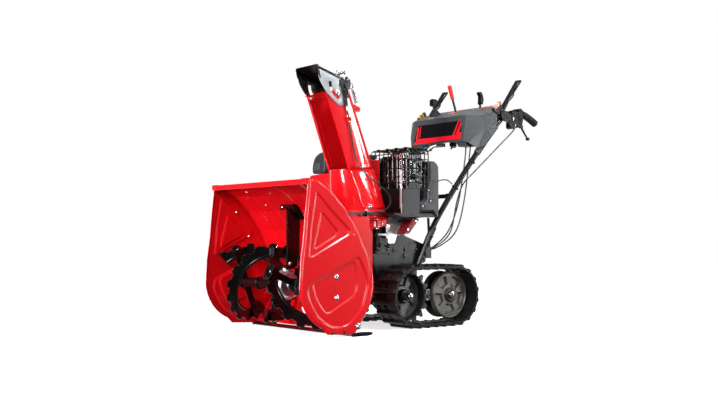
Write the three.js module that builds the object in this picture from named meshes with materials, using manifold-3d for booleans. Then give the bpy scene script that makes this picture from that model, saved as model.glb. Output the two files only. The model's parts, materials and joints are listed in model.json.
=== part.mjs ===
// Two-stage track-drive snowblower, built in millimetres.
// +X is the machine's left hand side, -Y its front (the auger end), +Z is up and z = 0 is the ground.
// Every section below works in the auger frame, where y = 0 is the auger axis. The whole group is
// then shifted so that the middle of the machine's length lies over the origin.

import * as THREE from 'three';
import { mergeVertices } from 'three/addons/utils/BufferGeometryUtils.js';
import { ConvexGeometry } from 'three/addons/geometries/ConvexGeometry.js';
import Module from 'manifold-3d';

const wasm = await Module();
wasm.setup();

// ---------------------------------------------------------------- driving dimensions

const GAP = 0.4;               // clearance kept between touching pieces
const RUN = 1.5;               // running clearance around turning shafts
const SHEET = 3;               // pressed steel sheet

const MACHINE_MIDDLE_Y = 559;  // middle of the overall length, measured from the auger axis

const AUGER_Z = 196;
const AUGER_RADIUS = 172;
const AUGER_SHAFT_RADIUS = 14;
const RIBBON_DEPTH = 42;       // radial depth of the auger ribbons
const RIBBON_THICKNESS = 5;
const RIBBON_X = [56, 336];    // inner and outer end of a ribbon, from the middle of the machine
const RIBBON_TWIST = THREE.MathUtils.degToRad(0.9);    // turn for each millimetre along the shaft
const LEFT_PHASE = THREE.MathUtils.degToRad(132);      // angle of the first left ribbon's inner end
const RIGHT_PHASE = THREE.MathUtils.degToRad(63);
const SHELL_INSET = 1;         // back sheet's outer face inside the side plates' outline

const HOUSING_HALF_WIDTH = 354;  // inner faces of the side plates, 28 in apart
const PLATE_THICKNESS = 4;

const BLOWER_Z = 205;
const BLOWER_RADIUS = 146;
const BLOWER_FRONT_Y = 196;
const BLOWER_REAR_Y = 338;
const IMPELLER_RADIUS = 132;

const RING_Y = 392;            // turning axis of the discharge chute
const RING_Z = 494;
const RING_RADIUS = 122;
const CHUTE_LEAN = THREE.MathUtils.degToRad(20.7);
const CHUTE_BACK_LEAN = THREE.MathUtils.degToRad(22);
const CHUTE_HALF_WIDTH = 71;
const CHUTE_TOP_Z = 1046;
const COLLAR_TOP_Z = 691;

const AXLE_Z = 138;
const DRIVE_AXLE_Y = 495;
const IDLER_AXLE_Y = 738;
const TRACK_INNER_X = 138;
const TRACK_OUTER_X = 280;
const BELT_INNER_RADIUS = 118;
const BELT_OUTER_RADIUS = 128;
const LUG_RADIUS = AXLE_Z;     // the lugs reach the ground
const LUG_COUNT = 26;
const WHEEL_RADIUS = 105;
const WHEEL_RIM_DEPTH = 24;
const DRIVE_FACE_X = 184;      // outer face of the drive sprockets, which sit deeper than the idlers
const IDLER_FACE_X = 228;
const AXLE_RADIUS = 13;

const FRAME_HALF_WIDTH = 106;
const FRAME_TOP_Z = 367;
const FRAME_BOTTOM_Z = 282;
const FRAME_FRONT_Y = 390;
const FRAME_REAR_Y = 702;

const TUBE_RADIUS = 12.5;
const GRIP_RADIUS = 17;

const CONSOLE_HALF_WIDTH = 180;
const CONSOLE_TOP_SLOPE = 0.3;

// ---------------------------------------------------------------- looks

const LOOKS = {
  redPaint: { color: 0xc9101a, roughness: 0.28, metalness: 0.15 },
  darkRed: { color: 0x7d1620, roughness: 0.45, metalness: 0.1 },
  blackPaint: { color: 0x141516, roughness: 0.4, metalness: 0.2 },
  castMetal: { color: 0xb9bcbe, roughness: 0.42, metalness: 0.85 },
  zinc: { color: 0xc4c8ca, roughness: 0.3, metalness: 0.95 },
  rubber: { color: 0x17191b, roughness: 0.85, metalness: 0 },
  wheelSteel: { color: 0x35322e, roughness: 0.5, metalness: 0.45 },
  greyPlastic: { color: 0x4a4d52, roughness: 0.5, metalness: 0 },
  darkPlastic: { color: 0x303237, roughness: 0.55, metalness: 0 },
  blackPlastic: { color: 0x101112, roughness: 0.5, metalness: 0 },
  redPlastic: { color: 0xd8261c, roughness: 0.4, metalness: 0 },
  cable: { color: 0x14201f, roughness: 0.5, metalness: 0 },
};

// ---------------------------------------------------------------- solids

// A manifold solid from any closed three.js geometry.
function solid(geometry) {
  const bare = geometry.clone();
  bare.deleteAttribute('normal');
  bare.deleteAttribute('uv');
  const merged = mergeVertices(bare, 1e-4);
  return new wasm.Manifold(new wasm.Mesh({
    numProp: 3,
    vertProperties: new Float32Array(merged.attributes.position.array),
    triVerts: new Uint32Array(merged.index.array),
  }));
}

function join(...solids) {
  return solids.reduce((whole, next) => whole.add(next));
}

function cut(body, ...tools) {
  return tools.reduce((rest, tool) => rest.subtract(tool), body);
}

function mirrored(body) {
  return body.mirror([1, 0, 0]);
}

function block([x0, x1], [y0, y1], [z0, z1]) {
  const geometry = new THREE.BoxGeometry(x1 - x0, y1 - y0, z1 - z0);
  geometry.translate((x0 + x1) / 2, (y0 + y1) / 2, (z0 + z1) / 2);
  return solid(geometry);
}

// A cylinder between two points.
function rod(from, to, radius, sides = 16) {
  const start = new THREE.Vector3(...from);
  const end = new THREE.Vector3(...to);
  const along = end.clone().sub(start);
  const geometry = new THREE.CylinderGeometry(radius, radius, along.length(), sides);
  const direction = along.clone().normalize();
  const turn = new THREE.Quaternion().setFromUnitVectors(new THREE.Vector3(0, 1, 0), direction);
  geometry.applyQuaternion(turn);
  const middle = start.add(end).multiplyScalar(0.5);
  geometry.translate(middle.x, middle.y, middle.z);
  return solid(geometry);
}

const axisRod = {
  x: (y, z, radius, x0, x1, sides) => rod([x0, y, z], [x1, y, z], radius, sides),
  y: (x, z, radius, y0, y1, sides) => rod([x, y0, z], [x, y1, z], radius, sides),
  z: (x, y, radius, z0, z1, sides) => rod([x, y, z0], [x, y, z1], radius, sides),
};

// A tube or cord of round section along a smooth line through the points.
function swept(points, radius, steps, sides = 10) {
  const path = new THREE.CatmullRomCurve3(points.map((p) => new THREE.Vector3(...p)));
  const section = new THREE.Shape();
  for (let i = 0; i < sides; i += 1) {
    const angle = (i / sides) * 2 * Math.PI;
    const x = radius * Math.cos(angle);
    const y = radius * Math.sin(angle);
    if (i === 0) {
      section.moveTo(x, y);
    } else {
      section.lineTo(x, y);
    }
  }
  return solid(new THREE.ExtrudeGeometry(section, { steps, extrudePath: path, bevelEnabled: false }));
}

// An outline drawn in the (y, z) plane, given thickness from x0 to x1.
function sideProfile(points, x0, x1) {
  const geometry = new THREE.ExtrudeGeometry(outline(points), { depth: x1 - x0, bevelEnabled: false });
  const turned = new THREE.Matrix4().makeBasis(
    new THREE.Vector3(0, 1, 0), new THREE.Vector3(0, 0, 1), new THREE.Vector3(1, 0, 0));
  geometry.applyMatrix4(turned);
  geometry.translate(x0, 0, 0);
  return solid(geometry);
}

// An outline drawn in the (x, z) plane, given thickness from y0 to y1.
function frontProfile(points, y0, y1) {
  const geometry = new THREE.ExtrudeGeometry(outline(points), { depth: y1 - y0, bevelEnabled: false });
  geometry.rotateX(Math.PI / 2);
  geometry.translate(0, y1, 0);
  return solid(geometry);
}

function outline(points) {
  return points instanceof THREE.Shape
    ? points
    : new THREE.Shape(points.map(([a, b]) => new THREE.Vector2(a, b)));
}

function hull(points) {
  return solid(new ConvexGeometry(points.map((p) => new THREE.Vector3(...p))));
}

// A closed skin over rings of equal point count, capped at both ends.
function loft(rings) {
  const count = rings[0].length;
  const positions = rings.flat(2);
  const index = [];
  for (let r = 0; r + 1 < rings.length; r += 1) {
    for (let i = 0; i < count; i += 1) {
      const a = r * count + i;
      const b = r * count + ((i + 1) % count);
      index.push(a, b, b + count, a, b + count, a + count);
    }
  }
  const last = (rings.length - 1) * count;
  for (let i = 1; i + 1 < count; i += 1) {
    index.push(0, i + 1, i);
    index.push(last, last + i, last + i + 1);
  }
  const geometry = new THREE.BufferGeometry();
  geometry.setAttribute('position', new THREE.Float32BufferAttribute(positions, 3));
  geometry.setIndex(index);
  return solid(geometry);
}

// Points spaced evenly on an arc, angles in degrees.
function arc([cy, cz], radius, from, to, count) {
  return Array.from({ length: count }, (_, i) => {
    const angle = THREE.MathUtils.degToRad(from + ((to - from) * i) / (count - 1));
    return [cy + radius * Math.cos(angle), cz + radius * Math.sin(angle)];
  });
}

const machine = new THREE.Group();
machine.position.set(0, -MACHINE_MIDDLE_Y, 0);

function piece(name, body, look) {
  const { vertProperties, triVerts } = body.simplify(0.02).getMesh();
  const geometry = new THREE.BufferGeometry();
  geometry.setAttribute('position', new THREE.BufferAttribute(new Float32Array(vertProperties), 3));
  geometry.setIndex(new THREE.BufferAttribute(new Uint32Array(triVerts), 1));
  geometry.computeVertexNormals();
  const mesh = new THREE.Mesh(geometry, new THREE.MeshStandardMaterial(LOOKS[look]));
  mesh.name = name;
  machine.add(mesh);
}

function pair(name, body, look) {
  piece(`left_${name}`, body, look);
  piece(`right_${name}`, mirrored(body), look);
}

// ---------------------------------------------------------------- undercarriage

function stadium(radius) {
  return [
    ...arc([IDLER_AXLE_Y, AXLE_Z], radius, -90, 90, 17),
    ...arc([DRIVE_AXLE_Y, AXLE_Z], radius, 90, 270, 17),
  ];
}

// Place and direction at a distance along the stadium line of the given radius.
function alongStadium(distance, radius) {
  const straight = IDLER_AXLE_Y - DRIVE_AXLE_Y;
  const bend = Math.PI * radius;
  let rest = distance % (2 * (straight + bend));
  if (rest < straight) {
    return { y: DRIVE_AXLE_Y + rest, z: AXLE_Z + radius, angle: Math.PI / 2 };
  }
  rest -= straight;
  if (rest < bend) {
    return onBend(IDLER_AXLE_Y, Math.PI / 2 - rest / radius, radius);
  }
  rest -= bend;
  if (rest < straight) {
    return { y: IDLER_AXLE_Y - rest, z: AXLE_Z - radius, angle: -Math.PI / 2 };
  }
  return onBend(DRIVE_AXLE_Y, -Math.PI / 2 - (rest - straight) / radius, radius);
}

function onBend(axleY, angle, radius) {
  return { y: axleY + radius * Math.cos(angle), z: AXLE_Z + radius * Math.sin(angle), angle };
}

function trackBelt() {
  const lugRoot = 4;
  const lugHalf = 9;
  const lugMargin = 4;
  const length = 2 * (IDLER_AXLE_Y - DRIVE_AXLE_Y + Math.PI * BELT_OUTER_RADIUS);
  const band = cut(
    sideProfile(stadium(BELT_OUTER_RADIUS), TRACK_INNER_X, TRACK_OUTER_X),
    sideProfile(stadium(BELT_INNER_RADIUS), TRACK_INNER_X - 10, TRACK_OUTER_X + 10));
  const height = LUG_RADIUS - BELT_OUTER_RADIUS + lugRoot;
  const lugs = Array.from({ length: LUG_COUNT }, (_, i) => {
    const spot = alongStadium((i + 0.5) * (length / LUG_COUNT), BELT_OUTER_RADIUS);
    const geometry = new THREE.BoxGeometry(
      TRACK_OUTER_X - TRACK_INNER_X - 2 * lugMargin, height, 2 * lugHalf);
    geometry.translate(0, height / 2 - lugRoot, 0);
    geometry.rotateX(spot.angle);
    geometry.translate((TRACK_INNER_X + TRACK_OUTER_X) / 2, spot.y, spot.z);
    return solid(geometry);
  });
  return join(band, ...lugs);
}

function trackWheel(axleY, faceX, hubEndX, capEndX) {
  const hubRadius = 29;
  const capRadius = 17;
  const hubOverlap = 2;
  return join(
    axisRod.x(axleY, AXLE_Z, WHEEL_RADIUS, faceX - WHEEL_RIM_DEPTH, faceX, 40),
    axisRod.x(axleY, AXLE_Z, hubRadius, faceX - WHEEL_RIM_DEPTH - hubOverlap, hubEndX, 24),
    axisRod.x(axleY, AXLE_Z, capRadius, faceX, capEndX, 16));
}

// The outer end of an axle, which stops just short of its wheel's hub.
function axleEnd(faceX) {
  return faceX - WHEEL_RIM_DEPTH - 2 - GAP;
}

function trackFrame() {
  const beamHalfHeight = 24;
  const beamX = [142, 154];
  const beam = block(beamX, [DRIVE_AXLE_Y - 30, IDLER_AXLE_Y + 34],
    [AXLE_Z - beamHalfHeight, AXLE_Z + beamHalfHeight]);
  const crossY = 640;
  return join(
    beam,
    mirrored(beam),
    axisRod.x(DRIVE_AXLE_Y, AXLE_Z, AXLE_RADIUS, -axleEnd(DRIVE_FACE_X), axleEnd(DRIVE_FACE_X)),
    axisRod.x(IDLER_AXLE_Y, AXLE_Z, AXLE_RADIUS, -axleEnd(IDLER_FACE_X), axleEnd(IDLER_FACE_X)),
    block([-beamX[1], beamX[1]], [crossY - 20, crossY + 20], [AXLE_Z - 20, AXLE_Z + 20]));
}

piece('track_frame', trackFrame(), 'blackPaint');
pair('track_belt', trackBelt(), 'rubber');
pair('drive_wheel', trackWheel(DRIVE_AXLE_Y, DRIVE_FACE_X, 206, 240), 'wheelSteel');
pair('idler_wheel', trackWheel(IDLER_AXLE_Y, IDLER_FACE_X, 234, 250), 'wheelSteel');

// ---------------------------------------------------------------- machine frame and transmission

function mainFrame() {
  const web = 4;
  const doublerFrontY = 477;
  const cheek = sideProfile([
    [FRAME_FRONT_Y, FRAME_BOTTOM_Z], [DRIVE_AXLE_Y - 40, AXLE_Z - 30], [DRIVE_AXLE_Y + 40, AXLE_Z - 30],
    [FRAME_REAR_Y - 60, FRAME_BOTTOM_Z - 20], [FRAME_REAR_Y, FRAME_BOTTOM_Z],
    [FRAME_REAR_Y - 20, FRAME_TOP_Z],
    [doublerFrontY, FRAME_TOP_Z], [doublerFrontY, 323], [FRAME_FRONT_Y, 323],
  ], FRAME_HALF_WIDTH - web, FRAME_HALF_WIDTH);
  const axleHole = axisRod.x(DRIVE_AXLE_Y, AXLE_Z, AXLE_RADIUS + RUN, -200, 200, 24);
  const deck = block([-FRAME_HALF_WIDTH, FRAME_HALF_WIDTH], [doublerFrontY, FRAME_REAR_Y - 20],
    [FRAME_TOP_Z - web, FRAME_TOP_Z]);
  const floor = block([-FRAME_HALF_WIDTH, FRAME_HALF_WIDTH], [FRAME_FRONT_Y, FRAME_FRONT_Y + web],
    [FRAME_BOTTOM_Z, 323]);
  const post = block([70, 86], [FRAME_REAR_Y - 46, FRAME_REAR_Y - 30], [FRAME_TOP_Z - 2, 480]);
  return join(cut(join(cheek, mirrored(cheek)), axleHole), deck, floor, post, mirrored(post));
}

function transmissionCase() {
  const half = FRAME_HALF_WIDTH - 6;
  const crankNotch = block([-22, 22], [380, 480], [400, 440]);
  const body = join(
    block([-half, half], [402, 468], [192, 431]),
    block([-70, 70], [466, 560], [170, 340]));
  return cut(body, crankNotch);
}

piece('main_frame', mainFrame(), 'blackPaint');
piece('transmission_case', transmissionCase(), 'blackPaint');

// ---------------------------------------------------------------- engine

const DECK_Z = FRAME_TOP_Z + GAP;
const ENGINE_PULLEY_Z = 420;     // height of the crankshaft
const SHELF_Z = [484, 500];
const BOX_SIDE_X = 210;          // near face of the engine's covers
const COVER_FRONT_Y = 572;
const COVER_REAR_Y = 688;

function crankcase() {
  return join(
    block([-100, 104], [474, 620], [DECK_Z, 452]),
    axisRod.y(0, ENGINE_PULLEY_Z, 50, 474, 628, 24),
    axisRod.y(0, ENGINE_PULLEY_Z, 12, 392, 480, 16),
    block([100, 146], [500, 560], [398, 470]));
}

function slantedBlock(x0, x1) {
  const lean = [[489, 412], [517, 410], [578, 476], [543, 481]];
  return sideProfile(lean, x0, x1);
}

function enginePanel() {
  const front = 469;
  const back = COVER_FRONT_Y - GAP;
  const shelf = block([-100, BOX_SIDE_X], [420, COVER_REAR_Y - 32], SHELF_Z);
  const ringClearance = axisRod.z(0, RING_Y, RING_RADIUS + 6, 440, 520, 40);
  const wall = join(
    block([BOX_SIDE_X - 6, BOX_SIDE_X], [front, back], [SHELF_Z[1] - 2, 604]),
    block([105, BOX_SIDE_X], [front, front + 6], [SHELF_Z[1] - 2, 604]),
    block([-60, 111], [526, 532], [SHELF_Z[1] - 2, 604]),
    block([105, 111], [front, 532], [SHELF_Z[1] - 2, 604]));
  return join(cut(shelf, ringClearance), wall);
}

function rearCover() {
  const top = 736;
  const side = sideProfile([
    [COVER_FRONT_Y, 512], [COVER_REAR_Y - 30, 512], [COVER_REAR_Y - 20, SHELF_Z[0] - 1],
    [COVER_REAR_Y, SHELF_Z[0]],
    [COVER_REAR_Y, top - 22], [COVER_REAR_Y - 18, top], [640, top], [632, 604], [COVER_FRONT_Y + 40, 590],
    [COVER_FRONT_Y + 36, 552], [COVER_FRONT_Y, 546],
  ], -120, BOX_SIDE_X);
  const hollow = block([-114, BOX_SIDE_X - 6], [COVER_FRONT_Y - 5, COVER_REAR_Y - 6], [460, top - 6]);
  const starterHole = axisRod.y(0, 560, 58, COVER_REAR_Y - 20, COVER_REAR_Y + 10, 24);
  return cut(side, hollow, starterHole);
}

function muffler() {
  return join(
    block([20, 190], [506, 606], [612, 762]),
    axisRod.x(556, 690, 30, 188, 200, 20));
}

// A cage of square wires: a grid on its front, its near side and its top.
function mufflerGuard() {
  const half = 2.6;
  const x = [-40, 206];
  const y = [500, 626];
  const z = [611, 784];
  const wire = (from, to) => block(
    ...[0, 1, 2].map((k) => [Math.min(from[k], to[k]) - half, Math.max(from[k], to[k]) + half]));
  const spaced = ([low, high], count) => Array.from(
    { length: count },
    (_, i) => low + ((high - low) * i) / (count - 1));
  const wires = [];
  for (const at of spaced(x, 5)) {
    wires.push(wire([at, y[0], z[0]], [at, y[0], z[1]]));
    wires.push(wire([at, y[0], z[1]], [at, y[1], z[1]]));
  }
  for (const at of spaced(y, 4)) {
    wires.push(wire([x[1], at, z[0]], [x[1], at, z[1]]));
    wires.push(wire([x[0], at, z[1]], [x[1], at, z[1]]));
  }
  for (const at of spaced(z, 4)) {
    wires.push(wire([x[0], y[0], at], [x[1], y[0], at]));
    wires.push(wire([x[1], y[0], at], [x[1], y[1], at]));
  }
  return join(...wires);
}

function recoilStarter() {
  return join(
    axisRod.y(0, 560, 54, 634, COVER_REAR_Y + 6, 32),
    axisRod.y(0, 560, 40, COVER_REAR_Y + 4, COVER_REAR_Y + 16, 32),
    block([-20, 20], [634, 650], [SHELF_Z[1] + GAP, 520]));
}

const RECOIL_Y = COVER_REAR_Y + 16 + GAP;

function recoilGrip() {
  return join(
    axisRod.y(34, 540, 4, RECOIL_Y, RECOIL_Y + 20, 10),
    block([6, 62], [RECOIL_Y + 18, RECOIL_Y + 34], [531, 549]));
}

function fuelTank() {
  return join(
    block([-190, -46], [500, 628], [622, 748]),
    block([-60, 25], [491, 495], [640, 746]),
    block([-60, -46], [491, 502], [640, 746]),
    axisRod.z(-120, 560, 24, 746, 760, 24));
}

piece('engine_crankcase', crankcase(), 'castMetal');
piece('valve_cover', slantedBlock(146 + GAP, 204), 'darkRed');
piece('engine_side_panel', enginePanel(), 'blackPaint');
piece('rear_cover', rearCover(), 'darkPlastic');
piece('muffler', muffler(), 'blackPaint');
piece('muffler_guard', mufflerGuard(), 'blackPaint');
piece('recoil_starter', recoilStarter(), 'darkPlastic');
piece('recoil_grip', recoilGrip(), 'blackPlastic');
piece('fuel_tank', fuelTank(), 'redPaint');
piece('fuel_cap', axisRod.z(-120, 560, 32, 760 + GAP, 778, 24), 'blackPlastic');

function airCleanerCover() {
  const dome = [[-298, 690], [-290, 740], [-266, 776], [-236, 789], [-200, 789], [-200, 690]];
  return join(frontProfile(dome, 352, 470), block([-240, -200], [394, 470], [600, 692]));
}

piece('air_cleaner_cover', airCleanerCover(), 'greyPlastic');

// ---------------------------------------------------------------- auger drive

const PULLEY_Y = [350, 376];
const PULLEY_RADIUS = 42;

function beltLoop(radius) {
  return [
    ...arc([0, ENGINE_PULLEY_Z], radius, 0, 180, 13),
    ...arc([0, BLOWER_Z], radius, 180, 360, 13),
  ];
}

function enginePulley() {
  return join(
    axisRod.y(0, ENGINE_PULLEY_Z, PULLEY_RADIUS, ...PULLEY_Y, 32),
    axisRod.y(0, ENGINE_PULLEY_Z, 12, PULLEY_Y[1] - 2, 392 - GAP, 16));
}

function driveBelt() {
  const clear = PULLEY_RADIUS + 0.6;
  const y = [PULLEY_Y[0] + 8, PULLEY_Y[1] - 8];
  return cut(frontProfile(beltLoop(clear + 8), ...y), frontProfile(beltLoop(clear), y[0] - 5, y[1] + 5));
}

piece('drive_belt', driveBelt(), 'rubber');

// ---------------------------------------------------------------- auger housing

function housingBack(offset) {
  return [
    [-144, 618 - offset], [-99 + offset / 2, 618 - offset], [-30 - offset * 0.6, 578 - offset * 0.8],
    [37 - offset * 0.7, 514 - offset * 0.7], [99 - offset * 0.85, 429 - offset * 0.5],
    [144 - offset * 0.9, 346 - offset * 0.4],
    ...arc([2, 204], 183 - offset, 22, -36, 8),
    [122 - offset, 62],
  ];
}

function sidePlate() {
  const shape = [
    [-144, 619], [-99, 618], [-30, 578], [37, 514], [99, 429], [144, 346],
    ...arc([3, 205], 183, 20, -36, 8),
    [86, 8], [-48, 14],
    ...arc([-3, 205], 180, -112, -176, 8),
    [-177, 300], [-163, 398], [-156, 486],
  ];
  return sideProfile(shape, HOUSING_HALF_WIDTH, HOUSING_HALF_WIDTH + PLATE_THICKNESS);
}

function housingShell() {
  const half = HOUSING_HALF_WIDTH - GAP;
  const outer = housingBack(SHELL_INSET);
  const inner = housingBack(SHELL_INSET + SHEET);
  const sheet = sideProfile([...outer, [88, 16], [84, 19], ...inner.reverse()], -half, half);
  const mouth = axisRod.y(0, BLOWER_Z, BLOWER_RADIUS - SHEET, 0, BLOWER_FRONT_Y + 20, 32);
  return cut(sheet, mouth);
}

function blowerHousing() {
  const wall = (radius, top) => [
    ...arc([0, BLOWER_Z], radius, 180, 360, 21),
    [radius, top], [-radius, top],
  ];
  const barrel = cut(
    frontProfile(wall(BLOWER_RADIUS, RING_Z - 10), BLOWER_FRONT_Y - 12, BLOWER_REAR_Y),
    frontProfile(wall(BLOWER_RADIUS - SHEET, RING_Z + 20), BLOWER_FRONT_Y - 40, BLOWER_REAR_Y - SHEET));
  const ledge = join(
    block([-BLOWER_RADIUS, BLOWER_RADIUS], [BLOWER_FRONT_Y, BLOWER_REAR_Y], [RING_Z - 14, RING_Z - 6]),
    axisRod.z(0, RING_Y, RING_RADIUS + 4, RING_Z - 14, RING_Z - 6, 32));
  const tab = block([116, 120], [400, 452], [438, RING_Z - 10]);
  const outlet = axisRod.z(0, RING_Y, RING_RADIUS - 16, RING_Z - 60, RING_Z + 20, 32);
  const shaftHole = axisRod.y(0, BLOWER_Z, 16, BLOWER_REAR_Y - 20, BLOWER_REAR_Y + 20, 20);
  const front = housingFrontClearance();
  return cut(join(barrel, ledge, tab, mirrored(tab)), outlet, shaftHole, front);
}

// Everything in front of the back sheet, which the blower housing meets with a small gap.
function housingFrontClearance() {
  const outer = housingBack(SHELL_INSET - GAP);
  return sideProfile([...outer, [88, 0], [-400, 0], [-400, 618]], -400, 400);
}

piece('auger_housing_shell', housingShell(), 'redPaint');
pair('side_plate', sidePlate(), 'redPaint');
piece('blower_housing', blowerHousing(), 'redPaint');
piece('scraper_blade', sideProfile([[92, 12], [60, 3], [58, 6], [90, 15.2]],
  -HOUSING_HALF_WIDTH + 2, HOUSING_HALF_WIDTH - 2), 'blackPaint');

// A low tongue that slides on the ground behind each side plate's foot.
function skidShoe() {
  const innerX = HOUSING_HALF_WIDTH + PLATE_THICKNESS + GAP;
  const thickness = 4.6;
  const tongue = [[66, 0], [148, 0], [168, 3], [175, 9], [170, 14], [152, 15], [70, 13]];
  return sideProfile(tongue, innerX, innerX + thickness);
}

pair('skid_shoe', skidShoe(), 'blackPaint');

// ---------------------------------------------------------------- augers

const GEARBOX_HALF_WIDTH = 44;

function gearbox() {
  const shaftHole = axisRod.x(0, AUGER_Z, AUGER_SHAFT_RADIUS + RUN, -60, 60, 24);
  const impellerHole = axisRod.y(0, BLOWER_Z, 11 + RUN, 55, 200, 20);
  return cut(join(
    axisRod.x(0, AUGER_Z, 58, -GEARBOX_HALF_WIDTH, GEARBOX_HALF_WIDTH, 28),
    axisRod.y(0, BLOWER_Z, 30, 20, 118, 24),
    block([-16, 16], [-16, 16], [AUGER_Z + 40, AUGER_Z + 72])), shaftHole, impellerHole);
}

// The plate that ties the gearbox to the back sheet, with a foot below and a bent head above.
function augerStay() {
  const foot = AUGER_Z + 72 + GAP;
  const headZ = 533;
  const headX = [-30, 60];
  const webX = [18, 24];
  const web = sideProfile([[-8, foot], [40, foot], [56, foot + 60], [60, 473], [6, 526], [-8, 526]], ...webX);
  const footPlate = block([-18, webX[1]], [-16, 24], [foot, foot + 6]);
  const head = sideProfile([[-10, headZ], [14, headZ], [66, 476], [60, 468], [4, 522], [-10, 524]], ...headX);
  const sheetFace = housingBack(SHELL_INSET + SHEET + GAP);
  const behindSheet = sideProfile([...sheetFace, [400, 62], [400, 700], [-144, 700]], -100, 100);
  return cut(join(web, footPlate, head), behindSheet);
}

// One ribbon of rectangular section wound round the auger shaft, with a spoke near each end.
function ribbon(phase) {
  const steps = 24;
  const [inner, outer] = RIBBON_X;
  const angleAt = (t) => phase + t * (outer - inner) * RIBBON_TWIST;
  const xAt = (t) => inner + t * (outer - inner);
  const section = [
    [0, AUGER_RADIUS - RIBBON_DEPTH], [RIBBON_THICKNESS, AUGER_RADIUS - RIBBON_DEPTH],
    [RIBBON_THICKNESS, AUGER_RADIUS], [0, AUGER_RADIUS],
  ];
  const rings = Array.from({ length: steps + 1 }, (_, i) => {
    const t = i / steps;
    const angle = angleAt(t);
    return section.map(([dx, r]) => [xAt(t) + dx, r * Math.cos(angle), AUGER_Z + r * Math.sin(angle)]);
  });
  const spokes = [0.08, 0.92].map((t) => {
    const x = xAt(t) + RIBBON_THICKNESS / 2;
    const reach = AUGER_RADIUS - RIBBON_DEPTH / 2;
    const tip = [x, reach * Math.cos(angleAt(t)), AUGER_Z + reach * Math.sin(angleAt(t))];
    return rod([x, 0, AUGER_Z], tip, 6.5, 10);
  });
  return join(loft(rings), ...spokes);
}

// The two ribbons of one auger, half a turn apart, on a sleeve over the shaft.
function augerFlight(phase) {
  const [inner, outer] = RIBBON_X;
  const sleeve = axisRod.x(0, AUGER_Z, AUGER_SHAFT_RADIUS + 8, inner - 2, outer + 10, 18);
  const bore = axisRod.x(0, AUGER_Z, AUGER_SHAFT_RADIUS + GAP, 0, 400, 24);
  return cut(join(ribbon(phase), ribbon(phase + Math.PI), sleeve), bore);
}

function impeller() {
  const blades = Array.from({ length: 4 }, (_, i) => {
    const blade = new THREE.BoxGeometry(4, 96, IMPELLER_RADIUS - 20);
    blade.translate(0, 0, (IMPELLER_RADIUS + 20) / 2);
    blade.rotateY((i * Math.PI) / 2);
    blade.translate(0, 268, BLOWER_Z);
    return solid(blade);
  });
  const hub = axisRod.y(0, BLOWER_Z, 26, 222, 316, 24);
  const disc = axisRod.y(0, BLOWER_Z, 90, 312, 316, 32);
  const bore = axisRod.y(0, BLOWER_Z, 12 + GAP, 200, 340, 20);
  return cut(join(hub, disc, ...blades), bore);
}

piece('auger_gearbox', gearbox(), 'castMetal');
piece('auger_stay', augerStay(), 'blackPaint');
const SHAFT_END_X = HOUSING_HALF_WIDTH - 2;
piece('auger_shaft', axisRod.x(0, AUGER_Z, AUGER_SHAFT_RADIUS, -SHAFT_END_X, SHAFT_END_X, 20), 'blackPaint');
piece('left_auger_flight', augerFlight(LEFT_PHASE), 'blackPaint');
piece('right_auger_flight', mirrored(augerFlight(RIGHT_PHASE)), 'blackPaint');
piece('impeller', impeller(), 'redPaint');
piece('impeller_shaft', axisRod.y(0, BLOWER_Z, 11, 62, PULLEY_Y[0] - GAP, 20), 'zinc');
piece('impeller_pulley', axisRod.y(0, BLOWER_Z, PULLEY_RADIUS, ...PULLEY_Y, 32), 'castMetal');
piece('engine_pulley', enginePulley(), 'castMetal');

// ---------------------------------------------------------------- discharge chute

// A rounded box section of the chute at height z, from front face y0 to back face y1.
function chuteRing(z, halfWidth, y0, y1, corner) {
  const points = [];
  const quarter = 5;
  const corners = [[1, 1, 0], [-1, 1, 90], [-1, -1, 180], [1, -1, 270]];
  for (const [sx, sy, from] of corners) {
    const cx = sx * (halfWidth - corner);
    const cy = sy > 0 ? y1 - corner : y0 + corner;
    for (const [x, y] of arc([cx, cy], corner, from, from + 90, quarter)) {
      points.push([x, y, z]);
    }
  }
  return points;
}

function chuteSkin(offset, extra) {
  const front = (z) => 278 - (z - COLLAR_TOP_Z) * Math.tan(CHUTE_LEAN) + offset;
  const back = (z) => 440 - (z - COLLAR_TOP_Z) * Math.tan(CHUTE_BACK_LEAN) - offset;
  const width = CHUTE_HALF_WIDTH - offset;
  const base = RING_RADIUS - 6 - offset;
  const corner = 22 - offset;
  return loft([
    chuteRing(RING_Z + 12 - extra, base, RING_Y - base, RING_Y + base, base - 1),
    chuteRing(RING_Z + 36, base, RING_Y - base, RING_Y + base, base - 1),
    chuteRing(RING_Z + 110, 98 - offset, 300 + offset, 486 - offset, 88 - offset),
    chuteRing(COLLAR_TOP_Z, width, front(COLLAR_TOP_Z), back(COLLAR_TOP_Z), corner),
    chuteRing(CHUTE_TOP_Z + extra, width, front(CHUTE_TOP_Z + extra), back(CHUTE_TOP_Z + extra), corner),
  ]);
}

function chuteChannel() {
  const lean = (z) => 278 - (z - COLLAR_TOP_Z) * Math.tan(CHUTE_LEAN);
  const opening = sideProfile([
    [lean(COLLAR_TOP_Z) + 22, COLLAR_TOP_Z], [lean(1100) + 22, 1100], [lean(1100) - 80, 1100],
    [lean(COLLAR_TOP_Z) - 80, COLLAR_TOP_Z],
  ], -100, 100);
  return cut(chuteSkin(0, 0), chuteSkin(SHEET, 6), opening);
}

function baseRing() {
  return cut(
    axisRod.z(0, RING_Y, RING_RADIUS + 2, RING_Z - 6 + GAP, RING_Z + 11, 40),
    axisRod.z(0, RING_Y, RING_RADIUS - 14, RING_Z - 20, RING_Z + 30, 40));
}

function deflectorSide() {
  return [[104, 1130], [108, 1104], [120, 1064], [178, 997], [226, 962], [250, 966], [274, 998], [276, 1036],
    [265, 1073], [251, 1084]];
}

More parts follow.
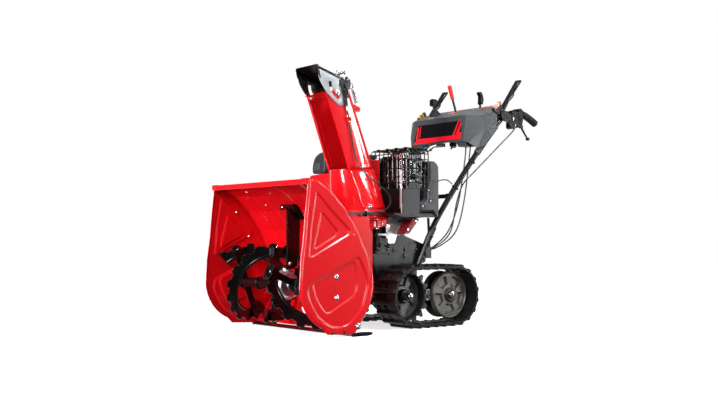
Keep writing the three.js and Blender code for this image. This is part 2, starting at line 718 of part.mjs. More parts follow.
function deflector() {
  const inside = CHUTE_HALF_WIDTH + 1.5;
  const cheek = sideProfile(deflectorSide(), inside, inside + SHEET);
  const outside = inside + SHEET;
  const roof = sideProfile([[104, 1130], [251, 1084], [254, 1087], [106, 1133]], -outside, outside);
  return join(cheek, mirrored(cheek), roof);
}

function deflectorSpring() {
  return join(
    rod([30, 262, 1094], [30, 320, 1088], 6, 10),
    rod([30, 320, 1088], [30, 363, 968], 7, 10));
}

function chuteCable() {
  const route = [[84, 247, 1030], [82, 262, 970], [81, 270, 915], [81, 286, 840], [82, 302, 772], [90, 318, 715],
    [106, 340, 676], [126, 368, 645], [142, 416, 609], [150, 440, 585],
    [154, 450, 552], [153, 432, 522], [150, 392, 508], [146, 340, 506]];
  return swept(route, 3.2, 40, 8);
}

piece('chute_base_ring', baseRing(), 'redPaint');
piece('chute_channel', chuteChannel(), 'redPaint');
piece('deflector', deflector(), 'blackPlastic');
piece('deflector_spring', deflectorSpring(), 'zinc');
piece('chute_cable', chuteCable(), 'cable');

// ---------------------------------------------------------------- belt cover

// A thin box over the pulleys with a tall shoulder standing on the right of the machine.
function beltCover() {
  const half = 104;
  const y = [BLOWER_REAR_Y + GAP, FRAME_FRONT_Y - GAP];
  const top = RING_Z - 15;
  const box = cut(
    block([-half, half], y, [150, top]),
    block([-half + SHEET, half - SHEET], [y[0] - 5, y[1] - SHEET], [150 + SHEET, top - SHEET]),
    axisRod.y(0, ENGINE_PULLEY_Z, 18, y[1] - 10, y[1] + 10, 20));
  const shoulder = frontProfile(
    [[-302, 420], [-302, 672], [-292, 683], [-156, 688], [-156, top], [-half + 1, top], [-half + 1, 420]],
    y[0] + 2, y[1]);
  return join(box, shoulder);
}

piece('belt_cover', beltCover(), 'redPaint');

// ---------------------------------------------------------------- handlebars

const TUBE_ROUTE = [[120, 636, 258], [122, 652, 296], [145, 714, 446], [175, 817, 616], [219, 940, 806],
  [245, 1032, 927], [250, 1082, 970], [252, 1140, 988], [252, 1200, 984], [252, 1250, 966], [252, 1294, 944]];
const TUBE_CURVE = new THREE.CatmullRomCurve3(TUBE_ROUTE.map((p) => new THREE.Vector3(...p)));

function handlebar() {
  return swept(TUBE_ROUTE, TUBE_RADIUS, 30, 10);
}

// Part of the handlebar's line, between two fractions of its length.
function alongTube(radius, from, to, steps) {
  const spans = 8;
  const points = Array.from(
    { length: spans + 1 },
    (_, i) => TUBE_CURVE.getPointAt(from + ((to - from) * i) / spans).toArray());
  return swept(points, radius, steps, 10);
}

const tubeClearance = alongTube(TUBE_RADIUS + 2, 0.4, 1, 24);

function grip() {
  return cut(alongTube(GRIP_RADIUS, 0.892, 0.998, 8), tubeClearance);
}

const BRACE = { y: 798, z: 584, radius: 10, halfLength: 154 };

pair('handlebar', handlebar(), 'blackPaint');
pair('grip', grip(), 'rubber');
const crossBrace = axisRod.x(BRACE.y, BRACE.z, BRACE.radius, -BRACE.halfLength, BRACE.halfLength);
piece('cross_brace', crossBrace, 'blackPaint');

// ---------------------------------------------------------------- control console

const SHIFT = { x: -66, y: 1062, pivotZ: 930 };
const THROTTLE = { x: 105, y: 1064, pivotZ: 950 };
const JOYSTICK = { x: -150, y: 1008 };
const FASCIA = [[875, 851], [892, 967]];       // bottom and top edges of the front face, (y, z)
const CONSOLE_REAR_Y = 1104;
const HAND_X = 252;

function consoleTopZ(y) {
  return FASCIA[1][1] + (y - FASCIA[1][0]) * CONSOLE_TOP_SLOPE;
}

function consoleCover() {
  const rearTop = [CONSOLE_REAR_Y, consoleTopZ(CONSOLE_REAR_Y)];
  const rearLow = [CONSOLE_REAR_Y + 4, rearTop[1] - 50];
  const bodyOutline = [...FASCIA, rearTop, rearLow, [920, 851]];
  const body = sideProfile(bodyOutline, -CONSOLE_HALF_WIDTH, CONSOLE_HALF_WIDTH);
  const at = (x, points) => points.map(([y, z]) => [x, y, z]);
  const shoulder = hull([
    ...at(CONSOLE_HALF_WIDTH - 1, bodyOutline),
    ...at(238, [[929, 967], [907, 806], [945, 800]]),
    ...at(264, [[959, 912], [1022, 990], [1030, 945], [990, 884]]),
  ]);
  const slots = [
    block([SHIFT.x - 9, SHIFT.x + 9], [SHIFT.y - 56, SHIFT.y + 34], [905, 1060]),
    block([THROTTLE.x - 12, THROTTLE.x + 12], [THROTTLE.y - 34, THROTTLE.y + 32], [930, 1060]),
  ];
  const socket = axisRod.z(JOYSTICK.x, JOYSTICK.y, 17, 960, 1060, 20);
  const paddleRoom = block([HAND_X - 22, HAND_X + 30], [1026, 1130], [950, 1060]);
  const shell = join(body, shoulder, mirrored(shoulder));
  const bothSides = [tubeClearance, mirrored(tubeClearance), paddleRoom, mirrored(paddleRoom)];
  return cut(shell, ...slots, socket, ...bothSides);
}

function decalPanel() {
  const margin = 12;
  const [low, high] = FASCIA;
  const slope = (high[0] - low[0]) / (high[1] - low[1]);
  const lowZ = low[1] + margin;
  const highZ = high[1] - margin;
  const faceY = (z) => low[0] + (z - low[1]) * slope - GAP;
  return sideProfile([[faceY(lowZ), lowZ], [faceY(highZ), highZ], [faceY(highZ) - 1.2, highZ],
    [faceY(lowZ) - 1.2, lowZ]], -CONSOLE_HALF_WIDTH + 14, CONSOLE_HALF_WIDTH - 14);
}

function shiftLever() {
  const tip = [SHIFT.x, SHIFT.y - 40, 1149];
  const collar = [SHIFT.x, SHIFT.y - 26.5, 1078];
  return join(
    rod([SHIFT.x, SHIFT.y, SHIFT.pivotZ], collar, 4.5, 12),
    rod(collar, tip, 9, 16),
    axisRod.x(SHIFT.y, SHIFT.pivotZ, 9, SHIFT.x - 7, SHIFT.x + 7, 16));
}

function throttleLever() {
  const { x, y, pivotZ } = THROTTLE;
  return join(
    block([x - 3, x + 3], [y - 5, y + 5], [pivotZ, 1050]),
    sideProfile([[y - 6, 1040], [y + 8, 1040], [y + 12, 1064], [y + 4, 1092], [y - 8, 1094], [y - 4, 1070]],
      x - 9, x + 9),
    axisRod.x(y, pivotZ, 8, x - 7, x + 7, 16));
}

function joystick() {
  const { x, y } = JOYSTICK;
  const seatZ = consoleTopZ(y);
  return join(
    axisRod.z(x, y, 14, seatZ - 10, seatZ + 12, 16),
    rod([x, y, seatZ], [x, y - 12, seatZ + 50], 7, 12),
    block([x - 13, x + 13], [y - 22, y], [seatZ + 44, seatZ + 78]));
}

piece('console_cover', consoleCover(), 'greyPlastic');
piece('console_panel', decalPanel(), 'blackPlastic');
piece('shift_lever', shiftLever(), 'redPlastic');
piece('throttle_lever', throttleLever(), 'blackPlastic');
piece('chute_joystick', joystick(), 'blackPlastic');

// ---------------------------------------------------------------- hand levers

const PADDLE = { y: 1046, z: 976 };
const TRIGGER = { y: 1190, z: 924 };

function leverBracket() {
  const body = join(
    block([HAND_X - 18, HAND_X + 18], [1108, 1152], [908, 990]),
    block([HAND_X - 20, HAND_X + 20], [1150, 1180], [914, 1006]),
    block([HAND_X + 16 + GAP, HAND_X + 20], [PADDLE.y - 12, 1112], [944, 990]));
  return cut(body, tubeClearance);
}

function clutchPaddle() {
  const { y, z } = PADDLE;
  return join(
    axisRod.x(y, z, 10, HAND_X - 16, HAND_X + 16, 16),
    sideProfile([[y - 4, z + 6], [y + 4, z - 2], [1178, 1139], [1176, 1144], [1170, 1144]],
      HAND_X - 16, HAND_X + 16));
}

function steeringTrigger() {
  const { y, z } = TRIGGER;
  return join(
    axisRod.x(y, z, 7, HAND_X - 10, HAND_X + 10, 16),
    rod([HAND_X, y, z], [HAND_X, 1238, 868], 4.5, 10),
    axisRod.x(1238, 868, 7, HAND_X - 8, HAND_X + 8, 12));
}

function steeringCable() {
  return swept([[250, 1142, 904], [240, 1124, 882], [192, 1012, 784], [178, 880, 652], [152, 886, 565],
    [140, 832, 400], [114, 720, 334]], 3.5, 32, 8);
}

pair('lever_bracket', leverBracket(), 'blackPlastic');
pair('clutch_paddle', clutchPaddle(), 'blackPaint');
pair('steering_trigger', steeringTrigger(), 'blackPlastic');
piece('steering_cable', steeringCable(), 'cable');

export default machine;
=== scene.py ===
"""Looks of a two-stage track-drive snowblower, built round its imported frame.

Lengths below are in millimetres and y is counted from the auger's axis, as in the CAD source.
+X is the machine's left hand side, -Y its front, +Z is up and z = 0 is the ground.
"""

import json
import math

import bpy
from mathutils import Matrix, Vector
from mathutils.geometry import delaunay_2d_cdt

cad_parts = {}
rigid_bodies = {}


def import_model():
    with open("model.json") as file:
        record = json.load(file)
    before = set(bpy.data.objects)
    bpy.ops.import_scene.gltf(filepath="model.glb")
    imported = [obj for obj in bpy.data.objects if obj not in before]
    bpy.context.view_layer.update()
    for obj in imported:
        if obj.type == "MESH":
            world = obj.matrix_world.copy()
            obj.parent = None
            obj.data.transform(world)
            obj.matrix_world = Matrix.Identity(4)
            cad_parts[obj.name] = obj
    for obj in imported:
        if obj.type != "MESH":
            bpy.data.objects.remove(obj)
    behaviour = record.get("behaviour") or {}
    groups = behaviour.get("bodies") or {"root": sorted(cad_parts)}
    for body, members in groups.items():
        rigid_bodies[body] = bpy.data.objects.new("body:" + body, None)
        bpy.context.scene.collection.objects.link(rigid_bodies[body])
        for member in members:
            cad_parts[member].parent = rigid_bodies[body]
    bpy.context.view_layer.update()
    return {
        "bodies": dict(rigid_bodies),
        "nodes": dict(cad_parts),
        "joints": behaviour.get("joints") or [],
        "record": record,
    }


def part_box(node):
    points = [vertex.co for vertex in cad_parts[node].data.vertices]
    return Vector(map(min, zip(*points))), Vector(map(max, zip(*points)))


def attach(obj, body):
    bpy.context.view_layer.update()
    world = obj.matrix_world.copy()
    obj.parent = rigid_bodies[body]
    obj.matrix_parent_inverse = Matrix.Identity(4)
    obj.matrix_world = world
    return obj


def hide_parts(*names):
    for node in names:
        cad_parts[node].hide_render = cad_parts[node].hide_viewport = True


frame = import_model()

# ---------------------------------------------------------------- driving dimensions

MM = 0.001
BODY = "machine_body"
OUT, INWARD = (1, 0, 0), (-1, 0, 0)              # for the left hand side; mirrored() makes the right
BACKWARD, FORWARD = (0, 1, 0), (0, -1, 0)
UP = (0, 0, 1)
shaft_low, shaft_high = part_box("auger_shaft")
AUGER_Y = (shaft_low.y + shaft_high.y) / 2       # the auger's axis, in metres in the frame
AUGER_Z = (shaft_low.z + shaft_high.z) / 2 / MM

# Camera: where it stands, which way it looks and how long its lens is.
CAMERA_PLACE = (3.4265, -2.9294, 0.3964)
CAMERA_AZIMUTH = math.radians(51.09)
CAMERA_PITCH = math.radians(-2.09)
CAMERA_LENS = 49.35
SENSOR_WIDTH = 36

AUGER_RADIUS = 172
RIBBON_DEPTH = 42
RIBBON_X = (56, 336)
RIBBON_TWIST = math.radians(0.9)
LEFT_PHASE = math.radians(132)
RIGHT_PHASE = math.radians(63)

PLATE_X = 354                 # inner face of a side plate
PLATE_THICKNESS = 4

BLOWER_Z = 205
BLOWER_RADIUS = 146
BLOWER_SHEET = 3
BLOWER_Y = (196, 338)

RING_Y = 392                  # turning axis of the chute
RING_Z = 494
RING_RADIUS = 122
CHUTE_SLOPE = math.tan(math.radians(20.7))
CHUTE_BACK_SLOPE = math.tan(math.radians(22))
COLLAR_TOP_Z = 691
CHUTE_TOP_Z = 1046

AXLE_Z = 138
DRIVE_Y = 495
IDLER_Y = 738
TRACK_X = (138, 280)
BELT_RADII = (118, 128)
LUG_RADIUS = 138
LUG_COUNT = 26

TUBE_RADIUS = 12.5
HAND_X = 252

# ---------------------------------------------------------------- materials

GRAIN_HEIGHT = 0.4            # of the finest surface texture
DUST_SCALE = 46
DUST_RANGE = (0.52, 0.75)     # the cloud values between which the dust sets in
DUST_COLOUR = (0.16, 0.15, 0.14, 1)


def link(material, source, target):
    material.node_tree.links.new(source, target)


def noise(material, place, scale, detail):
    """A cloud texture fixed to the object."""
    texture = material.node_tree.nodes.new("ShaderNodeTexNoise")
    texture.inputs["Scale"].default_value = scale
    texture.inputs["Detail"].default_value = detail
    link(material, place.outputs["Object"], texture.inputs["Vector"])
    return texture


def looks(name, colour, roughness, *, darker=0.85, lighter=1.08, patch=14, metal=0.0, specular=0.5,
          coat=0.0, coat_roughness=0.06, grain=900, grain_depth=0.0, swing=0.06, dirt=0.0):
    """A procedural finish: cloudy colour variation, uneven roughness and a fine grain."""
    material = bpy.data.materials.new(name)
    material.use_nodes = True
    nodes = material.node_tree.nodes
    shader = nodes["Principled BSDF"]
    shader.inputs["Metallic"].default_value = metal
    shader.inputs["Specular IOR Level"].default_value = specular
    shader.inputs["Coat Weight"].default_value = coat
    shader.inputs["Coat Roughness"].default_value = coat_roughness
    place = nodes.new("ShaderNodeTexCoord")

    cloud = noise(material, place, patch, 5)
    ramp = nodes.new("ShaderNodeValToRGB")
    ramp.color_ramp.elements[0].position = 0.3
    ramp.color_ramp.elements[0].color = (*[c * darker for c in colour], 1)
    ramp.color_ramp.elements[1].position = 0.7
    ramp.color_ramp.elements[1].color = (*[min(1, c * lighter) for c in colour], 1)
    link(material, cloud.outputs["Fac"], ramp.inputs["Fac"])
    colour_out = ramp.outputs["Color"]
    if dirt:
        colour_out = worn(material, colour_out, place, dirt)
    link(material, colour_out, shader.inputs["Base Color"])

    smear = noise(material, place, patch * 3, 4)
    gloss = nodes.new("ShaderNodeMapRange")
    gloss.inputs["To Min"].default_value = max(0.02, roughness - swing)
    gloss.inputs["To Max"].default_value = min(1, roughness + swing)
    link(material, smear.outputs["Fac"], gloss.inputs["Value"])
    link(material, gloss.outputs["Result"], shader.inputs["Roughness"])

    if grain_depth:
        fine = noise(material, place, grain, 3)
        bump = nodes.new("ShaderNodeBump")
        bump.inputs["Strength"].default_value = grain_depth
        bump.inputs["Distance"].default_value = GRAIN_HEIGHT * MM
        link(material, fine.outputs["Fac"], bump.inputs["Height"])
        link(material, bump.outputs["Normal"], shader.inputs["Normal"])
    return material


def worn(material, colour, place, amount):
    """Dust in patches over a colour."""
    nodes = material.node_tree.nodes
    spots = noise(material, place, DUST_SCALE, 7)
    spots.inputs["Roughness"].default_value = 0.65
    mask = nodes.new("ShaderNodeMapRange")
    mask.inputs["From Min"].default_value = DUST_RANGE[0]
    mask.inputs["From Max"].default_value = DUST_RANGE[1]
    mask.inputs["To Max"].default_value = amount
    link(material, spots.outputs["Fac"], mask.inputs["Value"])
    mix = nodes.new("ShaderNodeMix")
    mix.data_type = "RGBA"
    mix.inputs["B"].default_value = DUST_COLOUR
    link(material, mask.outputs["Result"], mix.inputs["Factor"])
    link(material, colour, mix.inputs["A"])
    return mix.outputs["Result"]


RED_PAINT = looks("red_paint", (0.72, 0.004, 0.009), 0.3, darker=0.93, lighter=1.04, patch=6, specular=0.15,
                  coat=1.0, coat_roughness=0.06, grain=260, grain_depth=0.03, swing=0.05)
# A darker copy of the red paint, used as painted shade on the inside of the chute's back.
PAINTED_SHADE_RED = looks("painted_shade_red_paint", (0.17, 0.002, 0.004), 0.42, darker=0.85, patch=7, specular=0.15,
                  coat=0.15, grain=260, grain_depth=0.06)
DARK_RED = looks("dark_red_paint", (0.2, 0.008, 0.014), 0.45, darker=0.75, patch=20, specular=0.4,
                 grain=700, grain_depth=0.3)
BLACK_PAINT = looks("black_paint", (0.0025, 0.003, 0.0035), 0.28, darker=0.8, patch=18, specular=0.3,
                    coat=0.3, coat_roughness=0.12, grain=1100, grain_depth=0.04, swing=0.04)
FRAME_PAINT = looks("frame_paint", (0.005, 0.007, 0.007), 0.36, darker=0.85, lighter=1.1, patch=9,
                    specular=0.3, grain=1300, grain_depth=0.08, swing=0.03, dirt=0.04)
WHEEL_PAINT = looks("wheel_paint", (0.052, 0.047, 0.039), 0.36, darker=0.8, lighter=1.15, patch=22, metal=0.0,
                    grain=900, grain_depth=0.1, dirt=0.15)
CAST_METAL = looks("cast_metal", (0.62, 0.64, 0.65), 0.36, darker=0.75, lighter=1.1, patch=30, metal=0.9,
                   grain=700, grain_depth=0.35, swing=0.1)
BRIGHT_METAL = looks("bright_metal", (0.72, 0.74, 0.75), 0.2, darker=0.85, patch=60, metal=1.0, grain=1500,
                     grain_depth=0.08, swing=0.08)
BRASS = looks("brass_metal", (0.75, 0.3, 0.08), 0.3, darker=0.8, patch=60, metal=1.0)
RUBBER = looks("track_rubber", (0.004, 0.005, 0.0065), 0.5, darker=0.7, lighter=1.4, patch=12, specular=0.3,
               grain=600, grain_depth=0.35, swing=0.1, dirt=0.12)
GRIP_RUBBER = looks("grip_rubber", (0.012, 0.012, 0.013), 0.7, darker=0.8, patch=30, specular=0.3,
                    grain=2200, grain_depth=0.5)
GREY_PLASTIC = looks("grey_plastic", (0.05, 0.054, 0.06), 0.42, darker=0.88, lighter=1.1, patch=8,
                     grain=2400, grain_depth=0.22)
DARK_PLASTIC = looks("dark_plastic", (0.024, 0.025, 0.03), 0.45, darker=0.85, lighter=1.15, patch=9,
                     grain=2400, grain_depth=0.22)
BLACK_PLASTIC = looks("black_plastic", (0.004, 0.004, 0.0048), 0.35, darker=0.8, patch=20, specular=0.35,
                      grain=2400, grain_depth=0.15)
RED_PLASTIC = looks("red_plastic", (0.7, 0.02, 0.012), 0.35, darker=0.9, patch=30, grain=1500,
                    grain_depth=0.1)
CABLE_SHEATH = looks("cable_sheath", (0.006, 0.016, 0.016), 0.35, darker=0.8, patch=40, specular=0.6)
CHEEK_PAINT = looks("cheek_paint", (0.42, 0.47, 0.48), 0.32, darker=0.8, lighter=1.1, patch=6, specular=0.5,
                    coat=0.4, coat_roughness=0.12, grain=1200, grain_depth=0.1)
MAROON = looks("maroon_black", (0.006, 0.002, 0.0025), 0.6, specular=0.08, darker=0.6, patch=10, grain=1200,
               grain_depth=0.1)
WIRE_BLUE = looks("wire_blue", (0.02, 0.07, 0.4), 0.4, darker=0.8, patch=60)
WIRE_YELLOW = looks("wire_yellow", (0.6, 0.42, 0.03), 0.4, darker=0.8, patch=60)
WIRE_WHITE = looks("wire_white", (0.7, 0.7, 0.68), 0.4, darker=0.85, patch=60)
GLOSS_BLACK = looks("gloss_black", (0.004, 0.004, 0.005), 0.2, darker=0.8, patch=20, specular=0.4)
DECAL_RED = looks("decal_red", (0.8, 0.008, 0.02), 0.35, darker=0.9, patch=20, specular=0.3)
MARK_RED = looks("mark_red", (0.75, 0.12, 0.08), 0.4, darker=0.9, patch=20, specular=0.3)
ORANGE = looks("sticker_orange", (0.75, 0.25, 0.17), 0.4, darker=0.85, patch=30, specular=0.3)
PADDLE_GREY = looks("paddle_grey", (0.22, 0.21, 0.2), 0.35, darker=0.8, patch=20, metal=0.3, grain=1200,
                    grain_depth=0.15)

# ---------------------------------------------------------------- shapes


def lerp(a, b, t):
    return a + (b - a) * t


def clamped(t):
    return max(0.0, min(1.0, t))


def smoothstep(t):
    """A soft step from 0 to 1 as t goes from 0 to 1."""
    t = clamped(t)
    return t * t * (3 - 2 * t)


def spread(low, high, count):
    """count numbers from low to high, both included."""
    return [lerp(low, high, i / (count - 1)) for i in range(count)]


def full_turn(count):
    """count angles evenly spaced round a circle, in radians."""
    return [2 * math.pi * k / count for k in range(count)]


def divided(a, b, step):
    """Points from a towards b, about a step apart, without b itself."""
    steps = max(1, round((Vector(b) - Vector(a)).length / step))
    return [Vector(a).lerp(Vector(b), i / steps) for i in range(steps)]


def arc(centre, radius, start, end, count):
    """Points of an arc in a plane, angles in degrees."""
    return [(centre[0] + radius * math.cos(math.radians(a)), centre[1] + radius * math.sin(math.radians(a)))
            for a in spread(start, end, count)]


def smooth_line(points, per_span=8):
    """A Catmull-Rom line through the points."""
    points = [Vector(p) for p in points]
    ends = [points[0] * 2 - points[1], *points, points[-1] * 2 - points[-2]]
    line = []
    for a, b, c, d in zip(ends, ends[1:], ends[2:], ends[3:]):
        for i in range(per_span):
            t = i / per_span
            line.append(0.5 * ((2 * b) + (c - a) * t + (2 * a - 5 * b + 4 * c - d) * t ** 2
                               + (3 * b - a - 3 * c + d) * t ** 3))
    line.append(points[-1])
    return line


def rounded(points, radius, count=4):
    """A closed flat outline with its corners rounded."""
    result = []
    size = len(points)
    for i, point in enumerate(points):
        here = Vector(point)
        before = Vector(points[i - 1]) - here
        after = Vector(points[(i + 1) % size]) - here
        reach = min(radius, before.length * 0.45, after.length * 0.45)
        start = here + before.normalized() * reach
        end = here + after.normalized() * reach
        for t in spread(0, 1, count):
            result.append(tuple(start * (1 - t) ** 2 + here * 2 * t * (1 - t) + end * t ** 2))
    return result


def skin(rings, *, closed=True, loop=False):
    """Faces over rings of equal point count. closed joins each ring's ends, loop joins last ring to first."""
    count = len(rings[0])
    points = [tuple(p) for ring in rings for p in ring]
    faces = []
    across = count if closed else count - 1
    along = len(rings) if loop else len(rings) - 1
    for r in range(along):
        here = r * count
        there = ((r + 1) % len(rings)) * count
        for i in range(across):
            j = (i + 1) % count
            faces.append((here + i, here + j, there + j, there + i))
    if closed and not loop:
        faces.append(tuple(reversed(range(count))))
        last = (len(rings) - 1) * count
        faces.append(tuple(range(last, last + count)))
    return points, faces


def swept(line, radius, sides=12, loop=False):
    """A round tube along a line. radius is one number, or one for each point."""
    line = [Vector(p) for p in line]
    size = len(line)
    radii = list(radius) if isinstance(radius, (list, tuple)) else [radius] * size
    tangents = []
    for i in range(size):
        before = line[i - 1] if i or loop else line[0]
        after = line[(i + 1) % size] if i + 1 < size or loop else line[-1]
        tangents.append((after - before).normalized())
    normal = tangents[0].orthogonal().normalized()
    rings = []
    for point, tangent, reach in zip(line, tangents, radii):
        normal = (normal - tangent * normal.dot(tangent)).normalized()
        other = tangent.cross(normal)
        rings.append([point + (normal * math.cos(a) + other * math.sin(a)) * reach for a in full_turn(sides)])
    return skin(rings, loop=loop)


def turned(profile, start, direction, sides=32):
    """A solid of revolution. profile lists (distance along, radius) from the start point."""
    axis = Vector(direction).normalized()
    side = axis.orthogonal().normalized()
    other = axis.cross(side)
    start = Vector(start)
    rings = []
    for along, radius in profile:
        radius = max(radius, 0.01)
        rings.append([start + axis * along + (side * math.cos(a) + other * math.sin(a)) * radius
                      for a in full_turn(sides)])
    return skin(rings)


PLANES = {
    "x": lambda a, b, depth: (depth, a, b),
    "y": lambda a, b, depth: (a, depth, b),
    "z": lambda a, b, depth: (a, b, depth),
}


def slab(outline, axis, low, high):
    """An outline given thickness along an axis."""
    place = PLANES[axis]
    rings = [[place(a, b, depth) for a, b in outline] for depth in (low, high)]
    return skin(rings)


def panel(points, radius, axis, low, high, count=4):
    """A slab whose outline has rounded corners."""
    return slab(rounded(points, radius, count), axis, low, high)


def rod(points, spans, radius, sides=12):
    """A round tube along a smooth line through the points."""
    return swept(smooth_line(points, spans), radius, sides)


def box(x, y, z):
    return slab([(x[0], y[0]), (x[1], y[0]), (x[1], y[1]), (x[0], y[1])], "z", z[0], z[1])


def flipped(shape):
    """The shape with its faces turned inside out."""
    points, faces = shape
    return points, [tuple(reversed(face)) for face in faces]


def mirrored(shape):
    """The shape on the other side of the machine."""
    points, faces = flipped(shape)
    return [(-x, y, z) for x, y, z in points], faces


def moved(shape, matrix):
    points, faces = shape
    return [tuple(matrix @ Vector(p)) for p in points], faces


def aimed(shape, place, direction):
    """A shape built along +Z round the origin, put at a place and turned to a direction."""
    turn = Vector(UP).rotation_difference(Vector(direction)).to_matrix().to_4x4()
    return moved(shape, Matrix.Translation(Vector(place)) @ turn)


def bolt(place, direction, size=6, washer=True):
    """A hexagon head, domed, on a washer. size is the head's half width."""
    height = size * 0.75
    head = turned([(0, size), (height * 0.8, size), (height, size * 0.8), (height, 0)], (0, 0, 0), UP, 6)
    parts = [head]
    if washer:
        parts.append(turned([(-0.3, size * 1.45), (size * 0.22, size * 1.45), (size * 0.3, size * 1.3),
                             (size * 0.3, 0)], (0, 0, 0), UP, 20))
    parts.append(turned([(height * 0.9, size * 0.45), (height * 1.3, size * 0.42), (height * 1.35, 0)],
                        (0, 0, 0), UP, 12))
    return [aimed(part, place, direction) for part in parts]


def placed(name, data):
    """A new object in the scene that shows the given mesh, lamp or camera."""
    thing = bpy.data.objects.new(name, data)
    bpy.context.scene.collection.objects.link(thing)
    return thing


def piece(name, shapes, material, body=BODY, *, slot=None, replaces=(), edge=0.0, smooth=32, segments=2):
    """One object from several shapes, riding on a body.

    slot, the CAD material that it would take over where that isn't the usual one for its finish, is not used.
    edge rounds its sharp edges by that many millimetres.
    """
    points, faces = [], []
    for shape_points, shape_faces in shapes:
        start = len(points)
        points += shape_points
        faces += [tuple(start + i for i in face) for face in shape_faces]
    mesh = bpy.data.meshes.new(name)
    mesh.from_pydata([(x * MM, y * MM + AUGER_Y, z * MM) for x, y, z in points], [], faces)
    mesh.validate()
    mesh.materials.append(material)
    mesh.polygons.foreach_set("use_smooth", [True] * len(mesh.polygons))
    mesh.set_sharp_from_angle(angle=math.radians(smooth))
    thing = placed(name, mesh)
    if edge:
        bevel = thing.modifiers.new("rounded_edges", "BEVEL")
        bevel.width = edge * MM
        bevel.segments = segments
        bevel.limit_method = "ANGLE"
        bevel.angle_limit = math.radians(smooth)
        bevel.harden_normals = True
    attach(thing, body)
    if replaces:
        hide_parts(*replaces)
    return thing


def thicken(thing, thickness, offset):
    """Gives a surface its sheet thickness. offset -1 keeps the surface as the front, 1 as the back."""
    sheet = thing.modifiers.new("sheet", "SOLIDIFY")
    sheet.thickness = thickness * MM
    sheet.offset = offset
    return sheet


def both(name, shapes, material, bodies=BODY, *, node=None, **options):
    """The same piece on the left and, mirrored, on the right. node names the CAD node without its side."""
    made = []
    for side, body in zip(("left", "right"), bodies if isinstance(bodies, tuple) else (bodies, bodies)):
        turned_shapes = shapes if side == "left" else [mirrored(shape) for shape in shapes]
        hidden = (f"{side}_{node}",) if node else ()
        made.append(piece(f"{side}_{name}", turned_shapes, material, body, replaces=hidden, **options))
    return made


# ---------------------------------------------------------------- undercarriage

TRACK_LENGTH = 2 * (IDLER_Y - DRIVE_Y + math.pi * BELT_RADII[1])
LUG_PITCH = TRACK_LENGTH / LUG_COUNT
TOOTH_ROWS = ((154, 174), (200, 220))      # windows in the belt that the sprocket's teeth come through
WINDOW_HALF = 12


def on_track(distance):
    """Where a distance along the belt lies: centre of its bend, outward direction, both as (y, z)."""
    straight = IDLER_Y - DRIVE_Y
    bend = math.pi * BELT_RADII[1]
    rest = distance % TRACK_LENGTH
    if rest < straight:
        return (DRIVE_Y + rest, AXLE_Z), (0.0, 1.0)
    rest -= straight
    if rest < bend:
        angle = math.pi / 2 - rest / BELT_RADII[1]
        return (IDLER_Y, AXLE_Z), (math.cos(angle), math.sin(angle))
    rest -= bend
    if rest < straight:
        return (IDLER_Y - rest, AXLE_Z), (0.0, -1.0)
    angle = -math.pi / 2 - (rest - straight) / BELT_RADII[1]
    return (DRIVE_Y, AXLE_Z), (math.cos(angle), math.sin(angle))


def belt_band():
    """The belt's band, with two rows of windows between the lugs."""
    steps = [0, 6, WINDOW_HALF, 18.6, LUG_PITCH / 2, 31, LUG_PITCH - WINDOW_HALF, LUG_PITCH - 6]
    distances = [i * LUG_PITCH + step for i in range(LUG_COUNT) for step in steps]
    across = [TRACK_X[0], TOOTH_ROWS[0][0], TOOTH_ROWS[0][1], 187, TOOTH_ROWS[1][0], TOOTH_ROWS[1][1], 250,
              TRACK_X[1]]
    rows, columns = len(distances), len(across)
    points = []
    for radius in BELT_RADII:
        for distance in distances:
            (y, z), (out_y, out_z) = on_track(distance)
            points += [(x, y + out_y * radius, z + out_z * radius) for x in across]

    def index(layer, row, column):
        return (layer * rows + row % rows) * columns + column

    def is_window(row, column):
        step = row % len(steps)
        near_gap = step in (0, 1) or step >= len(steps) - 2
        return near_gap and (across[column], across[column + 1]) in TOOTH_ROWS

    faces = []
    for row in range(rows):
        for column in range(columns - 1):
            corners = [(row, column), (row + 1, column), (row + 1, column + 1), (row, column + 1)]
            if not is_window(row, column):
                faces.append([index(1, *c) for c in reversed(corners)])
                faces.append([index(0, *c) for c in corners])
                continue
            faces.append([index(0, *c) for c in corners])
            sides = [((0, 1), (row, column - 1)), ((1, 2), (row + 1, column)), ((2, 3), (row, column + 1)),
                     ((3, 0), (row - 1, column))]
            for (a, b), neighbour in sides:
                if not is_window(neighbour[0] % rows, neighbour[1]):
                    faces.append([index(0, *corners[a]), index(0, *corners[b]), index(1, *corners[b]),
                                  index(1, *corners[a])])
        for column, flip in ((0, False), (columns - 1, True)):
            wall = [index(0, row, column), index(0, row + 1, column), index(1, row + 1, column),
                    index(1, row, column)]
            faces.append(wall if flip else wall[::-1])
    return points, faces


def on_belt(distance, shape):
    """A shape built as (x, along the belt, radius) and stood on the belt at a distance."""
    (y, z), (out_y, out_z) = on_track(distance)
    points, faces = shape
    return [(x, y + out_z * s + out_y * r, z - out_y * s + out_z * r) for x, s, r in points], faces


def belt_lug():
    """A lug: a bar across the belt with sloped flanks and chamfered ends."""
    root, tip = BELT_RADII[1] - 3, LUG_RADIUS
    levels = [(root, 11.5, TRACK_X[0] + 2, TRACK_X[1] - 1),
              (BELT_RADII[1], 10.5, TRACK_X[0] + 2, TRACK_X[1] - 1),
              (tip - 2, 7.5, TRACK_X[0] + 4, TRACK_X[1] - 3), (tip, 6.0, TRACK_X[0] + 7, TRACK_X[1] - 6)]
    rings = [[(x0, -half, r), (x1, -half, r), (x1, half, r), (x0, half, r)] for r, half, x0, x1 in levels]
    return flipped(skin(rings))


